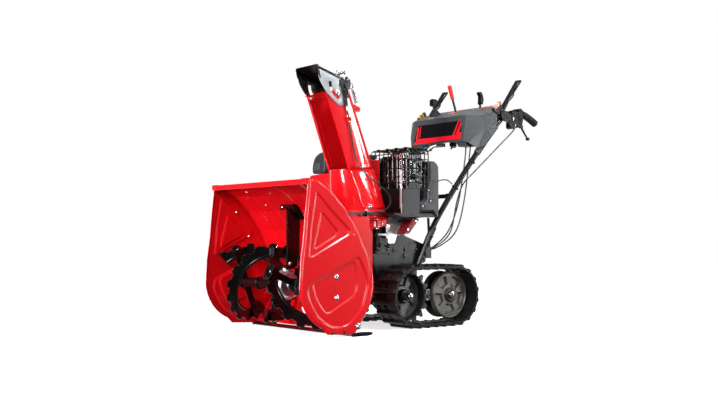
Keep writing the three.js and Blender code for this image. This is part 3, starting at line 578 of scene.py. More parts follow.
def belt_ribs():
    """Ribs on the belt's inside, one at each edge of every lug, and the ridge they stand on."""
    low, high = BELT_RADII[0] - 4, BELT_RADII[0] + 2
    outer = box((TRACK_X[1] - 46, TRACK_X[1] - 2), (-3.5, 3.5), (low, high))
    inner = box((TRACK_X[0] + 2, TRACK_X[0] + 14), (-3.5, 3.5), (low, high))
    edge_nub = box((TRACK_X[1] - 16, TRACK_X[1] + 1), (-5, 5), (BELT_RADII[0] + 2, BELT_RADII[1] + 3))
    return [outer, inner, edge_nub]


def track_belt():
    shapes = [belt_band()]
    for i in range(LUG_COUNT):
        middle = (i + 0.5) * LUG_PITCH
        shapes.append(on_belt(middle, belt_lug()))
        shapes += [on_belt(middle, rib) for rib in belt_ribs()]
        for shift in (-LUG_PITCH / 4, LUG_PITCH / 4):
            tread = box((226, TRACK_X[1] - 8), (-2, 2), (BELT_RADII[1] - 1, BELT_RADII[1] + 1.6))
            shapes.append(on_belt(middle + shift, tread))
    both("belt", shapes, RUBBER, "undercarriage", node="track_belt", edge=1.0)


WHEEL_POCKETS = 5
POCKET_RADII = (44, 84)
POCKET_HALF_ANGLE = math.radians(23)
POCKET_DEPTH = 11
POCKET_WALL = 4.5
HUB_RISE = 3                  # how far the disc's middle stands out, inside HUB_RADIUS
HUB_RADIUS = 36
HUB_SLOPE = 6
DISC_INSET = 5
DISC_SIDES = 120
DISC_RADII = [16, 26, 32, 38, *spread(41, 88, 16), 92, 95]
DISC_RIM = [(98, -1), (102, 0), (105, -3), (105, -20), (100, -24), (60, -24)]
SPROCKET_TEETH = 16
TOOTH_SHAPE = [(-0.4, 98), (-0.36, 107), (-0.2, 118), (-0.12, 127), (0.12, 127), (0.2, 118), (0.36, 107),
               (0.4, 98)]     # (share of the pitch, radius)
TOOTH_X = ((160, 168), (206, 214))
TOOTH_PHASE = math.radians(178.9)


def on_wheel(axle_y, radius, angle):
    """A place (y, z) at a radius and an angle round an axle."""
    return axle_y + radius * math.cos(angle), AXLE_Z + radius * math.sin(angle)


def pocket_depth(radius, angle, phase):
    """How deep a wheel's pressed disc lies at a place."""
    spacing = 2 * math.pi / WHEEL_POCKETS
    turn = (angle - phase + spacing / 2) % spacing - spacing / 2
    inside = min(radius - POCKET_RADII[0], POCKET_RADII[1] - radius, (POCKET_HALF_ANGLE - abs(turn)) * radius)
    return POCKET_DEPTH * smoothstep(inside / POCKET_WALL)


def wheel_disc(axle_y, face_x, phase, rim):
    """A pressed disc with pockets, a raised hub and a rolled rim. rim lists (radius, x from the face)."""
    rings = []
    for radius in DISC_RADII:
        x = face_x - DISC_INSET + HUB_RISE * clamped((HUB_RADIUS - radius) / HUB_SLOPE)
        rings.append([(x - pocket_depth(radius, a, phase), *on_wheel(axle_y, radius, a))
                      for a in full_turn(DISC_SIDES)])
    for radius, x in rim:
        rings.append([(face_x + x, *on_wheel(axle_y, radius, a)) for a in full_turn(DISC_SIDES)])
    return flipped(skin(rings))


def sprocket_teeth(x, phase):
    """One row of the drive wheel's teeth."""
    spacing = 2 * math.pi / SPROCKET_TEETH
    row = []
    for i in range(SPROCKET_TEETH):
        outline = [on_wheel(DRIVE_Y, radius, phase + (i + share) * spacing) for share, radius in TOOTH_SHAPE]
        row.append(slab(outline, "x", *x))
    return row


def wheels():
    for kind, axle_y, face_x, phase in (("drive", DRIVE_Y, 184, math.radians(20)),
                                        ("idler", IDLER_Y, 228, math.radians(54))):
        shapes = [wheel_disc(axle_y, face_x, phase, DISC_RIM)]
        if kind == "idler":
            shapes.append(turned([(0, 60), (0, 103), (3, 105), (12, 105), (15, 103), (15, 60)],
                                 (150, axle_y, AXLE_Z), OUT, 72))
            shapes.append(turned([(0, 40), (60, 40)], (150, axle_y, AXLE_Z), OUT, 40))
        bodies = (f"left_{kind}", f"right_{kind}")
        both(f"{kind}_disc", shapes, WHEEL_PAINT, bodies, node=f"{kind}_wheel", edge=0.8)
    rows = [tooth for x in TOOTH_X for tooth in sprocket_teeth(x, TOOTH_PHASE)]
    drum = turned([(0, 60), (0, 104), (6, 106), (54, 106), (58, 104), (58, 96), (26, 94)],
                  (156, DRIVE_Y, AXLE_Z), OUT, 72)
    drum = drum[0], drum[1][:-1]
    both("sprocket_teeth", rows, FRAME_PAINT, ("left_drive", "right_drive"), slot="wheel_paint", edge=1.2)
    both("sprocket_drum", [drum], RUBBER, ("left_drive", "right_drive"), slot="wheel_paint", edge=1.0)
    hub_caps()


def hub_caps():
    def cap(axle_y, x0, x1):
        return turned([(0, 17), (x1 - x0 - 6, 17), (x1 - x0 - 2, 15), (x1 - x0, 10), (x1 - x0, 0)],
                      (x0, axle_y, AXLE_Z), OUT, 28)

    def collar(axle_y, x0, x1):
        depth = x1 - x0
        return turned([(0, 30), (depth - 4, 30), (depth, 27), (depth, 21), (depth - 5, 19), (depth - 5, 0)],
                      (x0, axle_y, AXLE_Z), OUT, 36)

    drive = ("left_drive", "right_drive")
    idler = ("left_idler", "right_idler")
    for kind, bodies, axle_y, collar_x, cap_x in (("drive", drive, DRIVE_Y, (172, 206), (196, 240)),
                                                  ("idler", idler, IDLER_Y, (216, 234), (226, 250))):
        both(f"{kind}_collar", [collar(axle_y, *collar_x)], BLACK_PLASTIC, bodies, slot="wheel_paint",
             edge=0.6)
        both(f"{kind}_cap", [cap(axle_y, *cap_x)], BRIGHT_METAL, bodies, edge=0.5)
    nut = turned([(0, 8), (4, 8), (5, 5), (5, 0)], (248, IDLER_Y, AXLE_Z), OUT, 6)
    both("idler_nut", [nut], BRASS, idler, edge=0.4)
    drive_nut = turned([(0, 7), (3, 7), (4, 4), (4, 0)], (239, DRIVE_Y, AXLE_Z), OUT, 6)
    both("drive_nut", [drive_nut], BRIGHT_METAL, drive, edge=0.4)


def track_frame():
    beam = rounded([(DRIVE_Y - 32, AXLE_Z - 20), (600, AXLE_Z - 26), (640, AXLE_Z - 34), (672, AXLE_Z - 34),
                    (IDLER_Y + 34, AXLE_Z - 18), (IDLER_Y + 34, AXLE_Z + 18), (672, AXLE_Z + 30),
                    (612, AXLE_Z + 26), (DRIVE_Y - 32, AXLE_Z + 20)], 12)
    shapes = [slab(beam, "x", 142, 156)]
    shapes.append(box((156, 214), (606, 640), (AXLE_Z - 22, AXLE_Z + 26)))
    shapes.append(box((156, 196), (586, 606), (AXLE_Z - 42, AXLE_Z + 36)))
    shapes.append(panel([(590, 96), (612, 74), (628, 78), (606, 112)], 5, "x", 160, 190))
    shapes.append(panel([(584, 172), (600, 200), (616, 196), (604, 168)], 5, "x", 160, 190))
    shapes.append(turned([(0, 7), (70, 7)], (180, 600, AXLE_Z + 30), (0, 1, 0.05), 16))
    shapes.append(turned([(0, 12), (80, 12)], (172, 610, AXLE_Z - 6), BACKWARD, 16))
    for y, z in ((620, AXLE_Z - 10), (620, AXLE_Z + 14)):
        shapes += bolt((214, y, z), OUT, 6)
    cross = box((-156, 156), (620, 660), (AXLE_Z - 20, AXLE_Z + 20))
    axles = [turned([(0, 13), (2 * half, 13)], (-half, y, AXLE_Z), OUT, 24)
             for y, half in ((DRIVE_Y, 157), (IDLER_Y, 201))]
    halves = shapes + [mirrored(shape) for shape in shapes]
    piece("track_rails", [cross, *axles, *halves], BLACK_PAINT, "undercarriage", replaces=["track_frame"],
          edge=1.5)


track_belt()
wheels()
track_frame()

# ---------------------------------------------------------------- auger housing

PLATE_OUTLINE = [(-144, 619), (-99, 618), (-30, 578), (37, 514), (99, 429), (144, 346),
                 *arc((3, 205), 183, 20, -36, 12), (118, 51), (86, 8), (-48, 15),
                 *arc((-3, 205), 180, -112, -176, 12), (-177, 300), (-163, 398), (-156, 486), (-144, 590)]
FRONT_EDGE = [(-144, 619), (-144, 590), (-156, 486), (-163, 398), (-177, 300), (-182, 228),
              *arc((-3, 205), 180, -176, -112, 12), (-48, 15)]
OUTER_TRIANGLE = [(-104, 566), (-90, 560), (-30, 500), (60, 425), (60, 408), (-125, 318), (-137, 324),
                  (-124, 457)]
INNER_TRIANGLE = [(-76, 490), (-64, 486), (4, 418), (0, 404), (-102, 350), (-110, 356)]
OUTER_D = [(-136, 212), (104, 316), (118, 300), (152, 232), (150, 185), (126, 112), (60, 52), (20, 40),
           (-36, 44), (-97, 88), (-143, 168)]
INNER_D = [(-118, 212), (92, 300), (102, 214), (96, 166), (-40, 98), (-58, 102), (-98, 151)]
OUTER_PRESS = 5.0
INNER_PRESS = 4.5
PRESS_WALL = 4.4              # width of the slope at a press line
EDGE_ROLL = 6.0               # how far the front edge is rolled inwards
EDGE_ROLL_WIDTH = 13
RIM_DROP = 3                  # how far the rest of the edge is turned inwards
RIM_WIDTH = 6
SHEET_THICKNESS = 2.2

EDGE_STEP = 5                 # mesh spacing on the plate's edge, over its face and on the back sheet
GRID_STEP = 4.0
SHEET_STEP = 7
PLATE_SPAN_Y = (-186, 190)    # the field that the mesh points over the plate's face are laid out in
PLATE_SPAN_Z = (10.0, 620)


def inside_distance(point, outline):
    """Distance to a closed outline, positive inside it."""
    y, z = point
    inside = False
    for (ay, az), (by, bz) in zip(outline, outline[1:] + outline[:1]):
        if (az > z) != (bz > z) and y < ay + (z - az) * (by - ay) / (bz - az):
            inside = not inside
    distance = line_distance(point, outline + outline[:1])
    return distance if inside else -distance


def line_distance(point, line):
    """Distance to an open line."""
    y, z = point
    best = 1e9
    for (ay, az), (by, bz) in zip(line, line[1:]):
        dy, dz = by - ay, bz - az
        t = clamped(((y - ay) * dy + (z - az) * dz) / (dy * dy + dz * dz))
        best = min(best, (y - ay - t * dy) ** 2 + (z - az - t * dz) ** 2)
    return math.sqrt(best)


def plate_grid(outline):
    """Points (y, z) spread evenly over the inside of the plate, in staggered rows."""
    points = []
    row = 0
    z = PLATE_SPAN_Z[0]
    while z < PLATE_SPAN_Z[1]:
        y = PLATE_SPAN_Y[0] + (GRID_STEP / 2 if row % 2 else 0)
        while y < PLATE_SPAN_Y[1]:
            if inside_distance((y, z), outline) > GRID_STEP * 0.6:
                points.append((y, z))
            y += GRID_STEP
        z += GRID_STEP * 0.87
        row += 1
    return points


def plate_surface():
    """Points (y, z) over the plate, their faces, and each point's x."""
    outline = [tuple(p) for p in PLATE_OUTLINE]
    fine = []
    for a, b in zip(outline, outline[1:] + outline[:1]):
        fine += [tuple(p) for p in divided(a, b, EDGE_STEP)]
    points = fine + plate_grid(outline)
    loop = [tuple(range(len(fine)))]
    vertices, _, faces, *_ = delaunay_2d_cdt([Vector(p) for p in points], [], loop, 1, 1e-5)
    presses = [(rounded(outline_, 22, 6), depth) for outline_,
               depth in ((OUTER_TRIANGLE, OUTER_PRESS), (INNER_TRIANGLE, INNER_PRESS),
                         (OUTER_D, OUTER_PRESS), (INNER_D, INNER_PRESS))]
    depths = []
    for point in vertices:
        x = PLATE_X + PLATE_THICKNESS
        for shape, depth in presses:
            x -= depth * smoothstep(inside_distance(point, shape) / PRESS_WALL + 0.5)
        front = line_distance(point, FRONT_EDGE)
        x -= EDGE_ROLL * (1 - smoothstep(front / EDGE_ROLL_WIDTH)) ** 1.5
        rim = max(0.0, inside_distance(point, outline))
        x -= RIM_DROP * (1 - smoothstep(rim / RIM_WIDTH)) if front > 20 else 0
        depths.append(x)
    return vertices, faces, depths


def side_plates():
    vertices, faces, depths = plate_surface()
    points = [(x, p.x, p.y) for p, x in zip(vertices, depths)]
    surface = points, [tuple(face) for face in faces]
    area = sum((vertices[f[1]] - vertices[f[0]]).cross(vertices[f[2]] - vertices[f[0]]) for f in faces)
    if area < 0:
        surface = flipped(surface)
    made = both("pressed_plate", [surface], RED_PAINT, node="side_plate", smooth=60)
    for plate in made:
        thicken(plate, SHEET_THICKNESS, -1)
    plate_fittings()


def plate_fittings():
    face = PLATE_X + PLATE_THICKNESS
    zinc = []
    for z in (AUGER_Z + 42, AUGER_Z - 40):
        zinc += bolt((face - OUTER_PRESS - INNER_PRESS, 0, z), OUT, 8)
    zinc += bolt((face + 1, 101, 40), OUT, 9)
    both("plate_bolts", zinc, BRIGHT_METAL, edge=0.5)
    dots = [turned([(0, 6), (2, 6), (2.4, 5), (2.4, 0)], (face - 1, y, z), OUT, 20)
            for y, z in ((-26, 20), (32, 21))]
    both("plate_holes", dots, BLACK_PLASTIC, edge=0.4)
    bumps = [turned([(0, 5), (1, 4.6), (2.4, 3), (2.8, 0)], (face - 1, y, z), OUT, 20)
             for y, z in ((-6, 536), (78, 404))]
    both("plate_bumps", bumps, RED_PAINT)
    inside = PLATE_X - 2
    inner = []
    for y, z in ((-26, 506), (40, 398)):
        inner.append(turned([(0, 7), (3, 7), (6, 4), (6.5, 0)], (inside, y, z), INWARD, 20))
    inner += bolt((inside - 8, 44, 118), INWARD, 7)
    both("plate_inner_bolts", inner, BRIGHT_METAL)


SHOE = [(66, 0), (148, 0), (168, 3), (176, 9), (170, 14), (152, 16), (110, 17), (70, 14)]


def skid_shoes():
    shape = panel(SHOE, 6, "x", PLATE_X + 4.5, PLATE_X + 10)
    sole = panel([(84, 0), (150, 0), (170, 5), (170, 9), (150, 6), (84, 6)], 3, "x", PLATE_X - 22,
                 PLATE_X + 10)
    both("shoe", [shape, sole], BLACK_PAINT, node="skid_shoe", edge=1.2)
    blade = slab([(92, 12), (60, 3), (56, 5), (88, 16)], "x", -PLATE_X + 2, PLATE_X - 2)
    piece("scraper", [blade], BLACK_PAINT, replaces=["scraper_blade"], edge=0.8)


def back_line():
    """The back sheet in section, from its front top edge down to the scraper."""
    corners = [(-144, 617), (-99, 617), (-30, 577), (37, 513), (99, 428), (144, 345),
               *arc((2, 204), 182, 22, -36, 12), (120, 62), (90, 18)]
    line = []
    for a, b in zip(corners, corners[1:]):
        line += divided(a, b, SHEET_STEP)
    line.append(Vector(corners[-1]))
    return line


SHELL_RIBS = ((-190, 60), (-10, 60), (170, 60))    # each rib's middle at its top, and its half width
RIB_LEAN = 0.16                                    # sideways for each millimetre down
RIB_HEIGHT = 3
RIB_TOP_Z = 612
RIB_WALL = 7


def rib_height(x, z):
    """How far a rib pressed in the back sheet stands towards the front at a place."""
    height = 0.0
    for start, width in SHELL_RIBS:
        middle = start + (600 - z) * RIB_LEAN
        side = width - abs(x - middle)
        top = RIB_TOP_Z - z
        height = max(height, RIB_HEIGHT * smoothstep(min(side, top, (z - 300) * 0.5) / RIB_WALL))
    return height


def housing_shell():
    line = back_line()
    half = PLATE_X - 0.5
    columns = [-half + 2 * half * i / 150 for i in range(151)]
    front, rear = [], []
    for i, (y, z) in enumerate(line):
        after = Vector(line[min(i + 1, len(line) - 1)]) - Vector(line[max(i - 1, 0)])
        normal = Vector((-after.y, after.x)).normalized() * -1
        if normal.dot(Vector((0, 205)) - Vector((y, z))) < 0:
            normal = -normal
        for rings, depth in ((rear, 0.0), (front, 3.0)):
            rings.append([(x, y + normal.x * (depth + rib_height(x, z)),
                           z + normal.y * (depth + rib_height(x, z))) for x in columns])
    outside = skin(rear, closed=False)
    inside = skin(front, closed=False)
    shapes = [cut_mouth(shape) for shape in (outside, flipped(inside))]
    piece("back_sheet", shapes, RED_PAINT, replaces=["auger_housing_shell"], smooth=50)
    lip = panel([(-150, 622), (-98, 619), (-98, 615), (-142, 615), (-142, 600), (-150, 600)], 2, "x", -half,
                half)
    piece("top_flange", [lip], RED_PAINT, edge=1.0)
    corner = panel([(-152, 624), (-112, 624), (-112, 606), (-152, 606)], 3, "x", half - 30, half + 0.4)
    both("corner_tab", [corner], RED_PAINT, edge=1.2)
    studs = [turned([(0, 5), (10, 5), (12, 4), (12, 0)], (-168, 12, 536), (0, -0.7, -0.7), 16)]
    studs += bolt((-70, 148, 330), (0, -1, -0.3), 5)
    piece("back_studs", studs, BRIGHT_METAL)


def cut_mouth(shape):
    """Leaves out the faces in front of the blower's mouth."""
    points, faces = shape
    kept = []
    for face in faces:
        x = sum(points[i][0] for i in face) / len(face)
        y = sum(points[i][1] for i in face) / len(face)
        z = sum(points[i][2] for i in face) / len(face)
        if y < 100 or math.hypot(x, z - BLOWER_Z) > BLOWER_RADIUS - BLOWER_SHEET:
            kept.append(face)
    return points, kept


def blower():
    def wall(radius, top):
        return [*arc((0, BLOWER_Z), radius, 180, 360, 40), (radius, top), (-radius, top)]

    outer = wall(BLOWER_RADIUS, RING_Z - 12)
    inner = wall(BLOWER_RADIUS - BLOWER_SHEET, RING_Z - 15)
    rings = []
    for outline, y in ((inner, 186), (outer, 186), (outer, BLOWER_Y[1] - 8), (outer, BLOWER_Y[1] - 2)):
        rings.append([(x, y, z) for x, z in outline])
    shrunk = [(x * 0.95, BLOWER_Y[1], BLOWER_Z + (z - BLOWER_Z) * 0.97) for x, z in outer]
    rings.append(shrunk)
    rings.append([(x, BLOWER_Y[1] - 3, z) for x, _, z in shrunk])
    rings.append([(x, BLOWER_Y[1] - 6, z) for x, z in inner])
    points, faces = skin(rings, loop=True)
    back = slab([(x * 0.955, BLOWER_Z + (z - BLOWER_Z) * 0.975) for x, z in outer], "y", BLOWER_Y[1] - 3,
                BLOWER_Y[1])
    throat = turned([(0, 108), (40, 108), (60, 108), (60, 122), (50, 126), (40, 126), (36, 112), (0, 112)],
                    (0, RING_Y, RING_Z - 64), UP, 60)
    saddle = panel([(-146, 196), (146, 196), (146, 340), (118, 420), (-118, 420), (-146, 340)], 20, "z",
                   RING_Z - 14, RING_Z - 10)
    tab = panel([(404, 440), (458, 440), (458, 480), (404, 486)], 4, "x", 116, 119)
    shapes = [(points, faces), back, throat, saddle, tab, mirrored(tab)]
    piece("blower_case", shapes, RED_PAINT, replaces=["blower_housing"], edge=1.2)
    bolts = []
    for x in (-132, 132):
        for z in (300, 380, 450):
            bolts += bolt((x, BLOWER_Y[1], z), BACKWARD, 5)
    piece("blower_bolts", bolts, BRIGHT_METAL)


side_plates()
skid_shoes()
housing_shell()
blower()

# ---------------------------------------------------------------- augers and impeller

TOOTH_PITCH = math.radians(22)
TOOTH_DEPTH = 14
RIBBON_STEPS = 230
SPOKE_PLACES = (0.1, 0.9)     # along the ribbon
BRACKET_SIZE = (44, 50, 32)
BRACKET_DROP = 34             # from the ribbon's tip to a bracket's middle


def serration(angle):
    """Radius of the ribbon's toothed edge at an angle along it."""
    share = (angle / TOOTH_PITCH) % 1.0
    low, high = AUGER_RADIUS - TOOTH_DEPTH, AUGER_RADIUS
    if share < 0.1:
        return lerp(low, high, share / 0.1)
    if share < 0.5:
        return high
    if share < 0.62:
        return lerp(high, low, (share - 0.5) / 0.12)
    return low


def ribbon(phase):
    """A ribbon wound round the shaft: thick inner bead, thin toothed outer edge."""
    inner_x, outer_x = RIBBON_X
    rings = []
    for t in spread(0, 1, RIBBON_STEPS + 1):
        turn = t * (outer_x - inner_x) * RIBBON_TWIST
        angle = phase + turn
        tip = serration(turn)
        root = AUGER_RADIUS - RIBBON_DEPTH - 16
        section = [(-2.5, root), (-2.5, root + 9), (0, root + 12), (0.6, tip), (4.4, tip), (5, root + 12),
                   (7.5, root + 9), (7.5, root)]
        x = lerp(inner_x, outer_x, t)
        rings.append([(x + dx, r * math.cos(angle), AUGER_Z + r * math.sin(angle)) for dx, r in section])
    return skin(rings)


def spoke(phase, share):
    inner_x, outer_x = RIBBON_X
    x = lerp(inner_x, outer_x, share) + 2.5
    angle = phase + share * (outer_x - inner_x) * RIBBON_TWIST
    out = Vector((0, math.cos(angle), math.sin(angle)))
    side = Vector((0, -math.sin(angle), math.cos(angle)))
    rings = []
    for reach, half, thick in ((16, 17, 5), (60, 13, 4.5), (AUGER_RADIUS - BRACKET_DROP, 17, 4)):
        centre = Vector((x, 0, AUGER_Z)) + out * reach
        rings.append([centre + side * half + Vector((thick, 0, 0)),
                      centre + side * half - Vector((thick, 0, 0)),
                      centre - side * half - Vector((thick, 0, 0)),
                      centre - side * half + Vector((thick, 0, 0))])
    return skin(rings)


def bracket(x, angle, radius, size):
    """A bolted block that joins a ribbon to its spoke, and its bolts."""
    out = Vector((0, math.cos(angle), math.sin(angle)))
    side = Vector((0, -math.sin(angle), math.cos(angle)))
    along = Vector(OUT)
    middle = Vector((x, 0, AUGER_Z)) + out * radius
    turn = Matrix((along, side, out)).transposed().to_4x4()
    place = Matrix.Translation(middle) @ turn
    length, width, depth = size
    block = moved(box((-length / 2, length / 2), (-width / 2, width / 2), (-depth / 2, depth / 2)), place)
    plate = moved(box((-length / 2 - 4, length / 2 + 4), (-width / 2 - 4, width / 2 + 4),
                      (depth / 2 - 3, depth / 2 + 2)), place)
    bolts = []
    for dx in (-length / 4, length / 4):
        for part in bolt((dx, 0, depth / 2 + 2), UP, 5.5):
            bolts.append(moved(part, place))
    for dz in (-depth / 4, depth / 4):
        for part in bolt((0, -width / 2, dz), FORWARD, 4.5):
            bolts.append(moved(part, place))
    return [block, plate], bolts


def augers():
    for side, phase in (("left", LEFT_PHASE), ("right", RIGHT_PHASE)):
        blades, bolts = [], []
        for start in (phase, phase + math.pi):
            blades.append(ribbon(start))
            for share in SPOKE_PLACES:
                blades.append(spoke(start, share))
                x = lerp(*RIBBON_X, share)
                angle = start + share * (RIBBON_X[1] - RIBBON_X[0]) * RIBBON_TWIST
                blocks, more = bracket(x, angle, AUGER_RADIUS - BRACKET_DROP, BRACKET_SIZE)
                blades += blocks
                bolts += more
        sleeve = turned([(0, 20), (3, 22), (288, 22), (291, 20)], (50, 0, AUGER_Z), OUT, 36)
        collars = [turned([(0, 26), (2, 28), (18, 28), (20, 26)], (x, 0, AUGER_Z), OUT, 36)
                   for x in (54, 190, 316)]
        shapes = [*blades, sleeve, *collars]
        if side == "right":
            shapes = [mirrored(shape) for shape in shapes]
            bolts = [mirrored(shape) for shape in bolts]
        piece(f"{side}_auger_ribbons", shapes, BLACK_PAINT, "auger", replaces=[f"{side}_auger_flight"],
              edge=1.0)
        piece(f"{side}_auger_bolts", bolts, BRIGHT_METAL, "auger")
    reach = PLATE_X - 10
    shaft = turned([(0, 12), (2, 14), (2 * reach - 2, 14), (2 * reach, 12)], (-reach, 0, AUGER_Z), OUT, 32)
    piece("auger_axle", [shaft], BLACK_PAINT, "auger", replaces=["auger_shaft"])


GEAR_HALF = 40
GEAR_BOLTS = 8
GEAR_FINS = 10
FLANGE_RADIUS = 59


def gearbox():
    half = GEAR_HALF
    casing = turned([(0, 30), (4, 50), (14, 56), (36, 60), (44, 60), (66, 56), (76, 50), (80, 30)],
                    (-half, 0, AUGER_Z), OUT, 48)
    flange = turned([(0, 63), (2, 66), (10, 66), (12, 63)], (-6, 0, AUGER_Z), OUT, 48)
    nose = turned([(0, 34), (8, 38), (60, 34), (96, 30), (118, 24)], (0, 10, BLOWER_Z), BACKWARD, 40)
    boss = turned([(0, 20), (30, 16), (32, 12)], (0, 0, AUGER_Z + 40), UP, 24)
    cheeks = [turned([(0, 24), (8, 22), (8, 16)], (side * half, 0, AUGER_Z), (side, 0, 0), 32)
              for side in (-1, 1)]
    shapes = [casing, flange, nose, boss, *cheeks]
    angles = [2 * math.pi * (k + 0.5) / GEAR_BOLTS for k in range(GEAR_BOLTS)]
    flange_places = [(FLANGE_RADIUS * math.cos(a), AUGER_Z + FLANGE_RADIUS * math.sin(a)) for a in angles]
    for y, z in flange_places:
        shapes.append(turned([(0, 8), (16, 8)], (-8, y, z), OUT, 14))
    for angle in full_turn(GEAR_FINS):
        for sign in (-1, 1):
            fin = moved(box((-2, 2), (36, 55), (0, 26)), Matrix.Rotation(angle, 4, "X"))
            fin = [(x + sign * 24, y, z + AUGER_Z) for x, y, z in fin[0]], fin[1]
            shapes.append(fin)
    piece("gear_casing", shapes, CAST_METAL, replaces=["auger_gearbox"], edge=1.5)
    bolts = []
    for y, z in flange_places:
        bolts += bolt((8, y, z), OUT, 4.5, washer=False)
    piece("gear_casing_bolts", bolts, BRIGHT_METAL)


def stay():
    foot = AUGER_Z + 70
    web = panel([(-8, foot), (40, foot + 6), (54, foot + 60), (56, 480), (2, 516), (-6, 510)], 3, "x", 18, 23)
    fold = panel([(-8, foot), (-4, foot), (-4, 508), (-8, 508)], 1, "x", 12, 24)
    head = panel([(-10, 533), (12, 533), (64, 476), (58, 470), (12, 522), (-10, 526)], 2, "x", -30, 60)
    skirt = panel([(-10, 533), (12, 533), (22, 520), (14, 512), (-4, 512)], 2, "x", 54, 60)
    lip = panel([(-10, 533), (-6, 533), (-6, 510), (-10, 510)], 1, "x", -30, -4)
    shoe = box((-18, 26), (-14, 30), (foot - 4, foot + 5))
    piece("stay_plates", [web, fold, head, skirt, lip, shoe], BLACK_PAINT, replaces=["auger_stay"], edge=1.0)
    bolts = bolt((40, 24, 524), (0, 0.73, 0.68), 5) + bolt((44, 50, 494), (0, 0.73, 0.68), 5)
    bolts += bolt((-16, -10, 522), FORWARD, 4) + bolt((24, 4, foot + 18), OUT, 7)
    piece("stay_bolts", bolts, BRIGHT_METAL)


IMPELLER_BLADES = 4
BLADE_Y = (222, 314)
BLADE_HALF = 2                # half a blade's thickness
BLADE_CURVE = ((20, 0), (60, 2), (100, 8), (120, 16), (131, 26))      # (radius, how far it is bent forward)


def impeller():
    hub = turned([(0, 22), (3, 26), (90, 26), (94, 22)], (0, 222, BLOWER_Z), BACKWARD, 32)
    disc = turned([(0, 88), (1, 90), (4, 90), (4, 30)], (0, 312, BLOWER_Z), BACKWARD, 48)
    shapes = [hub, disc]
    for angle in full_turn(IMPELLER_BLADES):
        out = Vector((math.sin(angle), 0, math.cos(angle)))
        side = Vector((math.cos(angle), 0, -math.sin(angle)))
        rings = []
        front, rear = (Vector((0, y, 0)) for y in BLADE_Y)
        for reach, bend in BLADE_CURVE:
            centre = Vector((0, 0, BLOWER_Z)) + out * reach + side * bend
            near, far = centre + side * BLADE_HALF, centre - side * BLADE_HALF
            rings.append([near + front, near + rear, far + rear, far + front])
        shapes.append(skin(rings))
    piece("impeller_blades", shapes, RED_PAINT, "impeller_rotor", replaces=["impeller"], edge=0.8)
    shaft = turned([(0, 10), (2, 11), (286, 11), (287.6, 10)], (0, 62, BLOWER_Z), BACKWARD, 28)
    piece("impeller_axle", [shaft], BRIGHT_METAL, "impeller_rotor", replaces=["impeller_shaft"])


augers()
gearbox()
stay()
impeller()

# ---------------------------------------------------------------- discharge chute

CHUTE_HALF = 71
CHUTE_CORNER = 34
CHUTE_SHEET = 2.5
PANEL_SHEET = 1.6                           # of the outer panels lapped over the collar
SIDE_BULGE = 2.0                            # how far the side walls stand out in the middle
FRONT_AT_COLLAR = 278                       # the chute's front and back edges at the collar's top
BACK_AT_COLLAR = 440


def chute_front(z):
    return FRONT_AT_COLLAR - (z - COLLAR_TOP_Z) * CHUTE_SLOPE


def chute_back(z):
    return BACK_AT_COLLAR - (z - COLLAR_TOP_Z) * CHUTE_BACK_SLOPE


def channel_section(z):
    """Open section of the chute above its collar, from the near front edge round the back."""
    front, back = chute_front(z), chute_back(z)
    half, corner = CHUTE_HALF, CHUTE_CORNER
    near = [(half - 7, front + 5), (half - 2, front + 1), (half, front + 6)]
    near += [(half + SIDE_BULGE * (1 - (2 * t - 1) ** 2), lerp(front + 10, back - corner - 4, t))
             for t in spread(0, 1, 12)]
    turn = arc((half - corner, back - corner), corner, 0, 90, 9)
    half_way = near + turn
    return half_way + [(-x, y) for x, y in reversed(half_way)]


def channel():
    levels = spread(COLLAR_TOP_Z - 12, CHUTE_TOP_Z, 12)
    rings = [[(x, y, z) for x, y in channel_section(z)] for z in levels]
    points, faces = skin(rings, closed=False)
    trimmed = [(x, y, z - max(0.0, (250 - y) * 0.35) if z > CHUTE_TOP_Z - 1 else z) for x, y, z in points]
    sheet = piece("chute_walls", [flipped((trimmed, faces))], RED_PAINT, "chute",
                  replaces=["chute_channel"], smooth=50)
    # The inside of the chute's back, away from its side walls, takes the darker red as painted shade; the
    # side walls and the face added by the sheet thickness keep the red paint.
    sheet.data.materials.clear()
    sheet.data.materials.append(PAINTED_SHADE_RED)
    sheet.data.materials.append(RED_PAINT)
    for face in sheet.data.polygons:
        on_side = abs(face.center.x) > (CHUTE_HALF - 12) * MM
        face.material_index = 1 if on_side else 0
    thick = thicken(sheet, CHUTE_SHEET, 1)
    thick.material_offset = 1
    thick.material_offset_rim = 1


COLLAR_SIDES = 80
COLLAR_FRONT_SWELL = 20                     # how far the collar's front bulges at its top


def collar_section(z, offset=0.0):
    """Closed section of the collar: a circle at the ring, a bulged box at the top."""
    t = clamped((z - (RING_Z + 35)) / (COLLAR_TOP_Z - RING_Z - 35))
    ease = t ** 0.85
    half = lerp(RING_RADIUS - 2, CHUTE_HALF - 1, ease) + offset
    front = lerp(RING_Y - RING_RADIUS + 2, 276, ease) - offset
    back = lerp(RING_Y + RING_RADIUS, 440, ease) + offset
    power = lerp(2.0, 5.5, t ** 1.4)
    middle, reach = (front + back) / 2, (back - front) / 2
    section = []
    for angle in full_turn(COLLAR_SIDES):
        c, s = math.cos(angle), math.sin(angle)
        x = half * math.copysign(abs(c) ** (2 / power), c)
        y = middle + reach * math.copysign(abs(s) ** (2 / power), s)
        if s < 0:
            y -= COLLAR_FRONT_SWELL * t * abs(s) * max(0.0, 1 - (x / half) ** 2)
        section.append((x, y, z))
    return section


